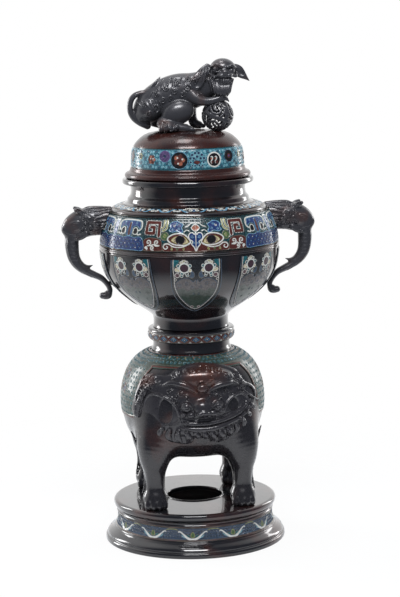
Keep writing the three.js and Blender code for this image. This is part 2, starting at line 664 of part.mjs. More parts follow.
// Lid: a domed shell with an enamelled wall, on a ring that drops into the bowl's mouth
const domeShares = [
  [1.011, 0.12], [0.998, 0.227], [0.98, 0.53], [0.94, 0.673], [0.85, 0.81], [0.69, 0.93], [0.35, 0.99], [0, 1],
];
const dome = placed(domeShares, [0, lidBase], [lid.radius, lid.height]);
const lidBand = dome.slice(1, 4);
const domeLining = [...everyOther(offset(dome, -lid.wall - bedDepth).slice(1, -2)), [lid.ventRadius, crown - lid.wall]];
const ringOuter = mouth.bore - lid.ringClearance;
const lidBore = ringOuter - lid.ringWall;

const flangeShares = [[-0.3, 0], [0, 0.5], [-0.3, 1]];
function lidShell() {
  const flange = placed(flangeShares, [lid.flangeRadius, lidBase], [lid.flangeHeight, lid.flangeHeight]);
  const outside = [...flange, dome[0], ...bedOf(lidBand), ...dome.slice(4, -1)];
  const inside = [...domeLining.toReversed(), [lidBore, dome[1][1]], [lidBore, lidBase]];
  const shell = turned([...outside, [lid.ventRadius, crown], ...inside]);
  return cut(shell, studPlaces.map((place) => boreFor(place, dome[3][1], crown + overrun, stud)));
}

/** The ring that locates the lid in the mouth of the bowl. */
function lidRing() {
  const [inner, grip] = [lidBore - seatGap, lidBore - seatGap - lid.ringWall];
  const [base, under, top] = [lidBase - lid.ringDepth, lidBase - seatGap, lidBase + lid.flangeHeight];
  return turned([[ringOuter, base], [ringOuter, under], [inner, under], [inner, top], [grip, top], [grip, base]]);
}

/** The lid as a solid block, grown by the seat gap. */
function lidBlock() {
  return turned([...offset(dome, seatGap).slice(0, -1), [0, crown + seatGap], [0, lidBase]]);
}

// Lion and ball. Places and girths are shares of the lion's height: along +X from the axis, across, and up from
// the crown of the lid.
const atLion = ([x, y, z]) => [x * lion.height, y * lion.height, crown + z * lion.height];
const ballPlaceShares = [0.42, -0.15, 0];
const studPlaceShares = [-0.3, 0.04, 0];
const [ballX, ballY] = atLion(ballPlaceShares);
const studPlaces = [atLion(studPlaceShares).slice(0, 2), [ballX, ballY]];
const ballFoot = levelAt(dome, Math.hypot(ballX, ballY)) + seatGap;
const ballMiddle = [ballX, ballY, ballFoot + ball.radius];
const studTops = [crown + stud.grip, ballFoot + ball.bossHeight / 2];

const [sideways, nearEarSide, farEarSide] = [[0, 1, 0], [0.4, 0, 1], [-0.4, 0, 1]];
const lionLimbShares = [
  // body from rump to neck
  { side: sideways, at: [
    [-0.5, 0.04, 0.27, 0.22, 0.24], [-0.28, 0.04, 0.42, 0.24, 0.24], [-0.06, 0.02, 0.5, 0.24, 0.26],
    [0.16, 0, 0.53, 0.21, 0.22], [0.34, -0.04, 0.68, 0.17, 0.18],
  ] },
  // near foreleg, laid on the ball
  { side: sideways, at: [
    [0.06, -0.14, 0.48, 0.09, 0.1], [0.22, -0.18, 0.46, 0.07, 0.065], [0.42, -0.16, 0.46, 0.07, 0.045],
  ] },
  // far foreleg, standing on the lid
  { side: sideways, at: [
    [0.18, 0.12, 0.46, 0.09, 0.1], [0.1, 0.15, 0.16, 0.07, 0.07], [0.18, 0.11, 0.03, 0.07, 0.05],
  ] },
  // hind feet
  { side: sideways, at: [
    [-0.34, -0.2, 0.1, 0.1, 0.1], [-0.12, -0.23, 0.03, 0.08, 0.06], [0.06, -0.22, 0.02, 0.075, 0.045],
  ] },
  { side: sideways, at: [
    [-0.42, 0.22, 0.1, 0.1, 0.11], [-0.22, 0.25, 0.02, 0.08, 0.06], [-0.08, 0.26, 0.01, 0.075, 0.05],
  ] },
  // tail, rising in a loop behind the rump
  { side: sideways, at: [
    [-0.54, 0.04, 0.03, 0.07, 0.06], [-0.7, 0.02, 0.12, 0.06, 0.045], [-0.79, 0, 0.28, 0.055, 0.035],
    [-0.75, 0, 0.45, 0.05, 0.03], [-0.58, 0, 0.5, 0.06, 0.04],
  ] },
  // plume of the tail along the back
  { side: sideways, at: [[-0.54, 0, 0.45, 0.06, 0.06], [-0.42, -0.03, 0.58, 0.05, 0.04], [-0.28, -0.03, 0.7, 0.03, 0.02]] },
  // ears
  { side: nearEarSide, at: [[0.32, -0.06, 0.88, 0.06, 0.045], [0.16, -0.08, 0.78, 0.12, 0.035], [0.07, -0.09, 0.58, 0.05, 0.02]] },
  { side: farEarSide, at: [[0.58, -0.06, 0.84, 0.07, 0.04], [0.72, -0.06, 0.78, 0.075, 0.035], [0.85, -0.06, 0.69, 0.012, 0.012]] },
];
const lionMassShares = [
  { at: [-0.12, -0.18, 0.24], size: [0.24, 0.14, 0.2], turn: [0, -0.3, 0] }, // near thigh
  { at: [-0.34, 0.2, 0.24], size: [0.24, 0.13, 0.2], turn: [0, -0.2, 0] }, // far thigh
  { at: [0.45, -0.08, 0.82], size: [0.19, 0.17, 0.175] }, // skull
  { at: [0.48, -0.23, 0.75], size: [0.12, 0.09, 0.08] }, // muzzle
  { at: [0.47, -0.21, 0.865], size: [0.15, 0.05, 0.035] }, // brows
  { at: [0.4, -0.14, 0.62], size: [0.16, 0.12, 0.17], turn: [0, 0.4, 0] }, // beard
];

function lionBody() {
  const size = lion.height;
  const limbs = lionLimbShares.map(({ side, at }) => {
    const stations = at.map(([x, y, z, w, h]) => [...atLion([x, y, z]), w * size, h * size]);
    return limb(stations, side);
  });
  const masses = lionMassShares.map(({ at, size: shares, turn }) => pebble(atLion(at), shares.map((s) => s * size), turn));
  const hole = boreFor(studPlaces[0], lidBase, studTops[0] + holeClearance, stud);
  const room = ball.radius + seatGap;
  return cut(join(limbs, masses), lidBlock(), hole, pebble(ballMiddle, [room, room, room], [0, 0, 0], sides.shank));
}

const [windowShare, windowDepthShare] = [0.5, 0.87];
const ribbonFacets = { hoop: [4, 12], window: [3, 5] }; // round the ribbon, and along it
const ballTilt = [20, 15, 30]; // degrees
/** The openwork ball: three ribbons that cross, and a ring in each of the eight windows between them. */
function brocadeBall() {
  const path = ball.radius - ball.ribbon;
  const hoop = new THREE.TorusGeometry(path, ball.ribbon, ...ribbonFacets.hoop);
  const turns = [[0, 0], [Math.PI / 2, 0], [0, Math.PI / 2]];
  const hoops = turns.map(([x, y]) => solidOf(hoop.clone().rotateX(x).rotateY(y)));
  const corners = [-1, 1].flatMap((x) => [-1, 1].flatMap((y) => [-1, 1].map((z) => new THREE.Vector3(x, y, z).normalize())));
  const windows = corners.map((out) => {
    const facing = new THREE.Quaternion().setFromUnitVectors(new THREE.Vector3(0, 0, 1), out);
    const rim = new THREE.TorusGeometry(path * windowShare, ball.windowRibbon, ...ribbonFacets.window);
    return solidOf(rim.applyQuaternion(facing).translate(...out.multiplyScalar(path * windowDepthShare)));
  });
  const tilted = join(hoops, windows).rotate(ballTilt).translate(ballMiddle);
  const place = studPlaces[1];
  const boss = post(place, ballFoot - overrun, ballFoot + ball.bossHeight, ball.bossRadius);
  return cut(join(tilted, boss), lidBlock(), boreFor(place, lidBase, studTops[1] + holeClearance, stud));
}

/** The level of the lid's lining over a place, clear of a nut. */
const liningOver = ([x, y]) => levelAt(domeLining, (Math.hypot(x, y) + stud.nut) / facetShare) - seatGap;

/** A threaded stud up through the lid. */
const finialStud = (place, top) => post(place, liningOver(place) - stud.nutHeight, top, stud.radius);

/** The nut that draws a stud down from inside the lid. */
function finialNut(place) {
  const top = liningOver(place);
  return sleeve(place, top - stud.nutHeight, top, stud.nut, stud, sides.hexagon);
}

// Assembly
const group = new THREE.Group();

/** Adds a named solid in a finish to the group. */
function add(name, solid, finish) {
  const mesh = new THREE.Mesh(geometryOf(solid), materials[finish]);
  mesh.name = name;
  group.add(mesh);
}

add("plinth_skirt", plinthSkirt(), "bronze");
add("plinth_plate", plinthPlate(), "bronze");
add("plinth_enamel", enamelBand(plinthBand), "cobalt");
legPlaces.forEach((place, i) => {
  const screw = bolt(place, plateUnder - seatGap, plateTop + pawScrew.grip, pawScrew);
  add(`paw_screw_${i + 1}`, screw, "steel");
});

add("stand_body", standBody(), "castBronze");
add("stand_cloth", clothShell(seatGap, -enamel.thickness, 0), "turquoise");
add("stand_mask", standMask(), "castBronze");

add("stand_collar", standCollar(), "bronze");
add("collar_ring", collarRing(), "bronze");
add("collar_enamel", enamelBand(ringBand), "cobalt");
const axis = [0, 0];
const nutTop = tieBarUnder - seatGap;
add("tie_washer", sleeve(axis, bowlFloor + seatGap, washerTop, tie.washer, tie), "steel");
add("tie_bolt", bolt(axis, washerTop + seatGap, nutTop - 2 * tie.headHeight, tie), "steel");
add("tie_bar", tieBar(), "steel");
add("tie_nut", sleeve(axis, nutTop - tie.headHeight, nutTop, tie.head, tie, sides.hexagon), "steel");

add("bowl_lower", bowlLower(), "bronze");
for (let i = 0; i < lappet.count; i++) add(`lappet_${i + 1}`, lappetPanel(i), "celadon");
add("waist_bead", waistBead(), "bronze");
add("bowl_shoulder", bowlShoulder(), "bronze");
add("mask_band_enamel", maskBandEnamel(), "cobalt");
add("scroll_band_enamel", enamelBand(scrollBand), "turquoise");
add("mouth_rim", mouthRim(), "bronze");

for (const [label, side] of [["left", -1], ["right", 1]]) {
  add(`handle_${label}`, handleBody(side), "castBronze");
  add(`handle_screw_${label}`, handleScrew(side), "steel");
  add(`handle_peg_${label}`, handlePeg(side, 0), "castBronze");
}

add("lid_shell", lidShell(), "bronze");
add("lid_ring", lidRing(), "bronze");
add("lid_enamel", enamelBand(lidBand), "turquoise");
add("lion", lionBody(), "castBronze");
add("brocade_ball", brocadeBall(), "castBronze");
studPlaces.forEach((place, i) => {
  add(`finial_stud_${i + 1}`, finialStud(place, studTops[i]), "steel");
  add(`finial_nut_${i + 1}`, finialNut(place), "steel");
});

export default group;
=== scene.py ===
"""A three-tier incense burner in patinated bronze and enamel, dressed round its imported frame.

Sizes are millimetres until a mesh is made. +Z is up, and the stand's mask looks towards -Y.
"""

from __future__ import annotations

import logging
from dataclasses import dataclass
from enum import Enum
from math import asin, cos, pi, radians, sin, sqrt
from typing import Sequence

import bpy
import numpy as np
import openvdb
from mathutils import Euler, Matrix, Vector
from mathutils.geometry import delaunay_2d_cdt


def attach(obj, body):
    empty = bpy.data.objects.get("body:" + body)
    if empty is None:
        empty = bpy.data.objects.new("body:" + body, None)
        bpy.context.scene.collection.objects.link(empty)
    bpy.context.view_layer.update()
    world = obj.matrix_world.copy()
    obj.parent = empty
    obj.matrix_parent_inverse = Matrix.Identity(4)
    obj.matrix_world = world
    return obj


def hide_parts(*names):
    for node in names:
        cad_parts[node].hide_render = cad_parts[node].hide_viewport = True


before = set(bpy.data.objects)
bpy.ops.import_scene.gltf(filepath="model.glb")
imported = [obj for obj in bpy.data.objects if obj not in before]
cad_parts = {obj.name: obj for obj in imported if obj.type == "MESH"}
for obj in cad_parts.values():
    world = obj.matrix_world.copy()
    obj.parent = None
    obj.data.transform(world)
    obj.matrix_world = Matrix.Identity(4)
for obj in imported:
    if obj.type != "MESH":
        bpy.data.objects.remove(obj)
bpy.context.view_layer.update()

MILLIMETRE = 0.001
HAIR = 0.3  # the gap in millimetres between a casting and what carries it
STRAIGHT = -0.97  # the cosine between two edges below which their corner stays as it is
TOUCH = 0.999  # the share of its half width that a wire covers
Station = Sequence[float]
Rows = Sequence[Station]
Lines = Sequence[Rows]
Triple = tuple[float, float, float]
Socket = bpy.types.NodeSocket
Array = np.ndarray
log = logging.getLogger("burner")


class Body(Enum):
    """The two CAD bodies that a piece can ride on."""

    BURNER = "burner"
    LID = "lid"


class Slot(Enum):
    """The record's material slots."""

    BRONZE = "bronze"
    CAST = "cast_bronze"
    TURQUOISE = "turquoise_enamel"
    COBALT = "cobalt_enamel"
    CELADON = "celadon_enamel"
    IRON = "iron_hardware"


# Finishes


class Wiring:
    """A node tree while it is wired up."""

    def __init__(self, tree: bpy.types.NodeTree) -> None:
        """Takes the tree on."""
        self.tree = tree

    def node(self, kind: str, inputs: dict[str, object] | None = None, **settings: object) -> bpy.types.Node:
        """Adds a node.

        Args:
            kind: The node's Blender type without ShaderNode in front.
            inputs: Values or sockets for its inputs, by name or number.
            settings: Its own properties.

        Returns:
            The node.
        """
        made = self.tree.nodes.new(f"ShaderNode{kind}")
        for name, value in settings.items():
            setattr(made, name, value)
        for name, value in (inputs or {}).items():
            self.feed(made.inputs[name], value)
        return made

    def feed(self, socket: Socket, value: object) -> None:
        """Links a socket into an input, or sets the input's value."""
        if isinstance(value, Socket):
            self.tree.links.new(value, socket)
        else:
            socket.default_value = value


class Shader(Wiring):
    """A material's node tree, round one Principled shader."""

    def __init__(self, name: str) -> None:
        """Starts a material.

        Args:
            name: The material's name.
        """
        self.material = bpy.data.materials.new(name)
        self.material.use_nodes = True
        super().__init__(self.material.node_tree)
        self.principled = self.tree.nodes["Principled BSDF"]
        self.place = self.node("TexCoord").outputs["Object"]

    def noise(self, scale: float, detail: float = 3.0, distortion: float = 0.0) -> Socket:
        """Soft noise over the object's own coordinates, as a value socket."""
        sizes = {"Vector": self.place, "Scale": scale, "Detail": detail, "Distortion": distortion}
        return self.node("TexNoise", sizes).outputs["Fac"]

    def ramp(self, value: Socket, stops: Sequence[tuple[float, Sequence[float]]]) -> Socket:
        """Colours a value.

        Args:
            value: The socket to colour.
            stops: Pairs of a place from 0 to 1 and its colour.

        Returns:
            The colour socket.
        """
        made = self.node("ValToRGB", {"Fac": value})
        elements = made.color_ramp.elements
        while len(elements) < len(stops):
            elements.new(0.5)
        for element, (at, color) in zip(elements, stops):
            element.position = at
            element.color = (*color, 1) if len(color) == 3 else (color[0],) * 3 + (1,)
        return made.outputs["Color"]

    def mix(self, share: object, first: object, second: object) -> Socket:
        """Mixes two colours by a share and returns the colour socket."""
        first, second = (value if isinstance(value, Socket) else (*value, 1) for value in (first, second))
        return self.node("Mix", {0: share, 6: first, 7: second}, data_type="RGBA").outputs[2]

    def bump(self, height: Socket, distance: float, strength: float) -> None:
        """Roughens the surface by a height socket, over a distance in millimetres."""
        sizes = {"Height": height, "Distance": distance * MILLIMETRE, "Strength": strength}
        self.feed(self.principled.inputs["Normal"], self.node("Bump", sizes).outputs["Normal"])

    def finish(self, **inputs: object) -> bpy.types.Material:
        """Sets the shader's inputs, named with underscores for spaces, and returns the material."""
        for name, value in inputs.items():
            self.feed(self.principled.inputs[name.replace("_", " ")], value)
        return self.material


class Finish:
    """A finish that makes its material once."""

    name: str

    def make(self) -> bpy.types.Material:
        """Builds the material's nodes.

        Returns:
            The material.
        """
        raise NotImplementedError

    def material(self) -> bpy.types.Material:
        """The finish's material, made when it is first asked for."""
        return bpy.data.materials.get(self.name) or self.make()


@dataclass(frozen=True)
class Bronze(Finish):
    """Dark patinated bronze with red-brown clouds, waxed to a soft gloss."""

    name: str
    dark: Triple = (0.0115, 0.0115, 0.0145)
    warm: Triple = (0.034, 0.014, 0.0135)
    warm_from: float = 0.5
    cloud: float = 14.0
    roughness: tuple[float, float] = (0.13, 0.22)
    grain: float = 0.05
    coat: float = 0.9
    spot: tuple[float, float, float, float] | None = None  # a redder place's middle and radius in metres

    def make(self) -> bpy.types.Material:
        """Builds the material's nodes."""
        shader = Shader(self.name)
        clouds = shader.noise(self.cloud, 5, 0.8)
        if self.spot:
            apart = shader.node("VectorMath", {0: shader.place, 1: self.spot[:3]}, operation="DISTANCE")
            share = shader.node("MapRange", {"Value": apart.outputs["Value"], "From Min": self.spot[3], "From Max": 0,
                "To Min": 0, "To Max": 0.3})
            clouds = shader.node("Math", {0: clouds, 1: share.outputs[0]}, operation="ADD").outputs[0]
        streaks = shader.noise(self.cloud * 9, 4)
        patina = shader.ramp(clouds, [(self.warm_from, self.dark), (min(self.warm_from + 0.16, 1), self.warm)])
        worn = shader.mix(shader.ramp(streaks, [(0.35, (0,)), (0.75, (0.5,))]), patina, self.dark)
        low, high = self.roughness
        gloss = shader.ramp(streaks, [(0.3, (low,)), (0.7, (high,))])
        shader.bump(shader.noise(650, 3), 0.12, self.grain)
        return shader.finish(Base_Color=worn, Metallic=0.35, Roughness=gloss, Coat_Weight=self.coat,
            Coat_Roughness=0.05, Coat_IOR=1.55)


@dataclass(frozen=True)
class Iron(Finish):
    """Old iron hardware, brushed and browned."""

    name: str = "Browned iron"

    def make(self) -> bpy.types.Material:
        """Builds the material's nodes."""
        shader = Shader(self.name)
        rust = shader.ramp(shader.noise(90, 5), [(0.4, (0.14, 0.13, 0.12)), (0.7, (0.1, 0.055, 0.035))])
        shader.bump(shader.noise(900), 0.1, 0.3)
        return shader.finish(Base_Color=rust, Metallic=0.85, Roughness=0.45)


@dataclass(frozen=True)
class Glaze(Finish):
    """One colour of fired enamel, ground flush and waxed, with its own mottling and pits."""

    name: str
    color: Triple
    mottle: float = 0.45
    roughness: float = 0.22

    def make(self) -> bpy.types.Material:
        """Builds the material's nodes."""
        shader = Shader(self.name)
        deep = tuple(value * (1 - self.mottle) for value in self.color)
        pale = tuple(min(1, value * (1 + 0.5 * self.mottle) + 0.01) for value in self.color)
        tint = shader.ramp(shader.noise(420, 4), [(0.3, deep), (0.55, self.color), (0.8, pale)])
        pits = shader.noise(1500, 2)
        shader.bump(pits, 0.1, 0.25)
        return shader.finish(Base_Color=tint, Roughness=self.roughness, Coat_Weight=0.25, Coat_Roughness=0.08)


class Tone(Enum):
    """The enamel colours and the wire between them."""

    GROUND = Glaze("Enamel near black", (0.016, 0.018, 0.021))
    WIRE = Bronze("Cloison wire", (0.13, 0.115, 0.09), (0.17, 0.15, 0.11), 0.4, 60, (0.25, 0.4))
    COBALT = Glaze("Enamel cobalt", (0.015, 0.038, 0.145))
    NAVY = Glaze("Enamel navy", (0.014, 0.026, 0.07))
    SKY = Glaze("Enamel sky blue", (0.12, 0.27, 0.4))
    TEAL = Glaze("Enamel teal", (0.012, 0.1, 0.12))
    TURQUOISE = Glaze("Enamel turquoise", (0.032, 0.15, 0.205))
    WHITE = Glaze("Enamel white", (0.56, 0.57, 0.55), 0.25)
    CREAM = Glaze("Enamel cream", (0.5, 0.44, 0.28), 0.3)
    RED = Glaze("Enamel red brown", (0.085, 0.022, 0.018))
    CORAL = Glaze("Enamel coral", (0.3, 0.1, 0.06))
    GREEN = Glaze("Enamel green", (0.06, 0.11, 0.045))
    LIME = Glaze("Enamel yellow green", (0.28, 0.28, 0.1))
    PURPLE = Glaze("Enamel purple", (0.1, 0.06, 0.16))
    CELADON = Glaze("Enamel worn celadon", (0.062, 0.075, 0.066), 0.6, 0.3)
    BLACK = Glaze("Enamel black", (0.008, 0.008, 0.009), 0.3, 0.12)
    FOAM = Glaze("Enamel pale blue", (0.2, 0.42, 0.5), 0.3)
    SLATE = Glaze("Enamel slate", (0.055, 0.085, 0.13))
    MAUVE = Glaze("Enamel mauve", (0.1, 0.055, 0.065))
    ASH = Glaze("Enamel ash", (0.095, 0.084, 0.086))
    MOSS = Glaze("Enamel moss", (0.03, 0.05, 0.04), 0.6, 0.3)
    PEARL = Glaze("Enamel pearl", (0.46, 0.44, 0.42), 0.35)
    PLUM = Glaze("Enamel plum", (0.055, 0.03, 0.042), 0.3, 0.15)


(GROUND, WIRE, COBALT, NAVY, SKY, TEAL, TURQUOISE, WHITE, CREAM, RED, CORAL, GREEN, LIME, PURPLE, CELADON, BLACK,
    FOAM, SLATE, MAUVE, ASH, MOSS, PEARL, PLUM) = Tone


TURNED = Bronze("Turned bronze")
TURNED_WARM = Bronze("Turned bronze red", warm_from=0.46, warm=(0.046, 0.0175, 0.0155))
CROWN = Bronze("Turned bronze of the lid", warm_from=0.36, warm=(0.05, 0.015, 0.012), roughness=(0.2, 0.3), coat=0.25)
CAST = Bronze("Cast bronze", (0.05, 0.05, 0.058), (0.08, 0.047, 0.043), 0.54, 22, (0.28, 0.42), 0.25, 0.4)
STAND = Bronze("Cast bronze of the stand", (0.02, 0.0185, 0.022), (0.055, 0.02, 0.016), 0.54, 12, (0.2, 0.32), 0.15,
    0.6)
MASK = Bronze("Cast bronze of the mask", (0.034, 0.032, 0.038), (0.08, 0.03, 0.022), 0.55, 16, (0.22, 0.36), 0.2, 0.5,
    (0.008, -0.105, 0.252, 0.05))


# Curves and meshes


def smooth_path(stations: Rows, steps: int = 6, closed: bool = False) -> Array:
    """Runs a smooth curve through stations of any number of values.

    Args:
        stations: The stations, one row each.
        steps: Points from one station to the next.
        closed: Whether the last station runs on to the first.

    Returns:
        The curve's points.
    """
    knots = np.array(stations, float)
    if closed:
        knots = np.vstack([knots[-1], knots, knots[:2]])
    else:
        knots = np.vstack([2 * knots[0] - knots[1], knots, 2 * knots[-1] - knots[-2]])
    t = np.linspace(0, 1, steps, endpoint=False)[:, None]
    spans = []
    for a, b, c, d in zip(knots, knots[1:], knots[2:], knots[3:]):
        bend, twist = 2 * a - 5 * b + 4 * c - d, 3 * b - a - 3 * c + d
        spans.append(0.5 * (2 * b + (c - a) * t + bend * t**2 + twist * t**3))
    if not closed:
        spans.append(knots[-2:-1])
    return np.vstack(spans)


def resample(path: Array, spacing: float) -> Array:
    """Spreads a polyline's points evenly.

    Args:
        path: The polyline's points, with any further values after their first two.
        spacing: About how far apart they end up.

    Returns:
        The new points.
    """
    lengths = np.r_[0, np.cumsum(np.linalg.norm(np.diff(path[:, :2], axis=0), axis=1))]
    at = np.linspace(0, lengths[-1], max(2, int(round(lengths[-1] / spacing)) + 1))
    return np.column_stack([np.interp(at, lengths, column) for column in path.T])


def soften(outline: Rows, radius: float, steps: int = 4) -> Array:
    """Rounds the corners of a closed [radius, level] outline.

    Args:
        outline: The outline's corners in order.
        radius: How far along its edges a corner is drawn in, at most.
        steps: Points round a corner, less one.

    Returns:
        The rounded outline.
    """
    corners = np.array(outline, float)
    rounded = []
    for before, here, after in zip(np.roll(corners, 1, 0), corners, np.roll(corners, -1, 0)):
        back, on = before - here, after - here
        lengths = np.linalg.norm(back), np.linalg.norm(on)
        turn = np.dot(back, on) / (lengths[0] * lengths[1])
        if turn < STRAIGHT:
            rounded.append(here)
            continue
        reach = min(radius, 0.45 * min(lengths))
        start, end = here + back / lengths[0] * reach, here + on / lengths[1] * reach
        for t in np.linspace(0, 1, steps + 1):
            rounded.append((1 - t) ** 2 * start + 2 * t * (1 - t) * here + t**2 * end)
    return np.array(rounded)


@dataclass
class Surface:
    """Points in millimetres, faces between them, and each face's finish number."""

    points: Array
    faces: list[list[int]]
    tones: Array | None = None


def revolve(outline: Array, count: int = 168) -> Surface:
    """Turns a closed [radius, level] outline round the axis.

    Args:
        outline: The outline's points in order.
        count: Facets round the axis.

    Returns:
        The closed surface.
    """
    area = np.sum(outline[:, 0] * np.roll(outline[:, 1], -1) - np.roll(outline[:, 0], -1) * outline[:, 1])
    if area < 0:
        outline = outline[::-1]
    angle = np.linspace(0, 2 * pi, count, endpoint=False)[:, None]
    radius, level = outline[:, 0][None, :], outline[:, 1][None, :]
    points = np.stack([radius * np.cos(angle), radius * np.sin(angle), level + 0 * angle], -1).reshape(-1, 3)
    i, j = np.meshgrid(np.arange(count), np.arange(len(outline)), indexing="ij")
    k, m = (i + 1) % count, (j + 1) % len(outline)
    rows = len(outline)
    faces = np.stack([i * rows + j, k * rows + j, k * rows + m, i * rows + m], -1).reshape(-1, 4)
    return Surface(points, faces.tolist())


def publish(name: str, surface: Surface, body: Body, nodes: Sequence[str], finishes: Sequence[Finish],
        crease: float = 38.0) -> None:
    """Makes a piece from a surface, hangs it on its body, hides the CAD nodes that it stands for and gives it its
    finishes.

    Args:
        name: The piece's name.
        surface: Its points and faces.
        body: The CAD body that it rides on.
        nodes: The CAD nodes that it stands for.
        finishes: Its finishes, in the order of the faces' numbers.
        crease: The angle in degrees above which an edge stays sharp.
    """
    mesh = bpy.data.meshes.new(name)
    mesh.from_pydata((surface.points * MILLIMETRE).tolist(), [], surface.faces)
    mesh.polygons.foreach_set("use_smooth", np.ones(len(mesh.polygons), bool))
    if surface.tones is not None:
        mesh.polygons.foreach_set("material_index", surface.tones.astype(np.int32))
    mesh.set_sharp_from_angle(angle=radians(crease))
    for finish in finishes:
        mesh.materials.append(finish.material())
    piece = bpy.data.objects.new(name, mesh)
    bpy.context.scene.collection.objects.link(piece)
    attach(piece, body.value)
    if nodes:
        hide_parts(*nodes)
    log.info("%s: %d points, %d faces", name, len(surface.points), len(surface.faces))


# Modelling clay


def outline_distance(outline: Array, r: Array, z: Array) -> Array:
    """The signed distance to a closed outline, below zero inside it.

    Args:
        outline: The outline's [radius, level] points.
        r: The points' radii.
        z: Their levels.

    Returns:
        The distances.
    """
    nearest = np.full(np.broadcast(r, z).shape, 1e9)
    inside = np.zeros(nearest.shape, bool)
    for (ar, az), (br, bz) in zip(outline, np.roll(outline, -1, 0)):
        er, ez, pr, pz = br - ar, bz - az, r - ar, z - az
        t = np.clip((pr * er + pz * ez) / max(er * er + ez * ez, 1e-12), 0, 1)
        nearest = np.minimum(nearest, (pr - er * t) ** 2 + (pz - ez * t) ** 2)
        if az != bz:
            crosses = (az > z) != (bz > z)
            inside ^= crosses & (r < ar + (z - az) / (bz - az) * er)
    return np.where(inside, -1, 1) * np.sqrt(nearest)


def melt(first: Array, second: Array, soft: float) -> Array:
    """Joins two distance fields with a soft fillet.

    Args:
        first: One field.
        second: The other.
        soft: The fillet's size.

    Returns:
        The joined field.
    """
    if soft <= 0:
        return np.minimum(first, second)
    share = np.clip(0.5 + 0.5 * (second - first) / soft, 0, 1)
    return second + (first - second) * share - soft * share * (1 - share)


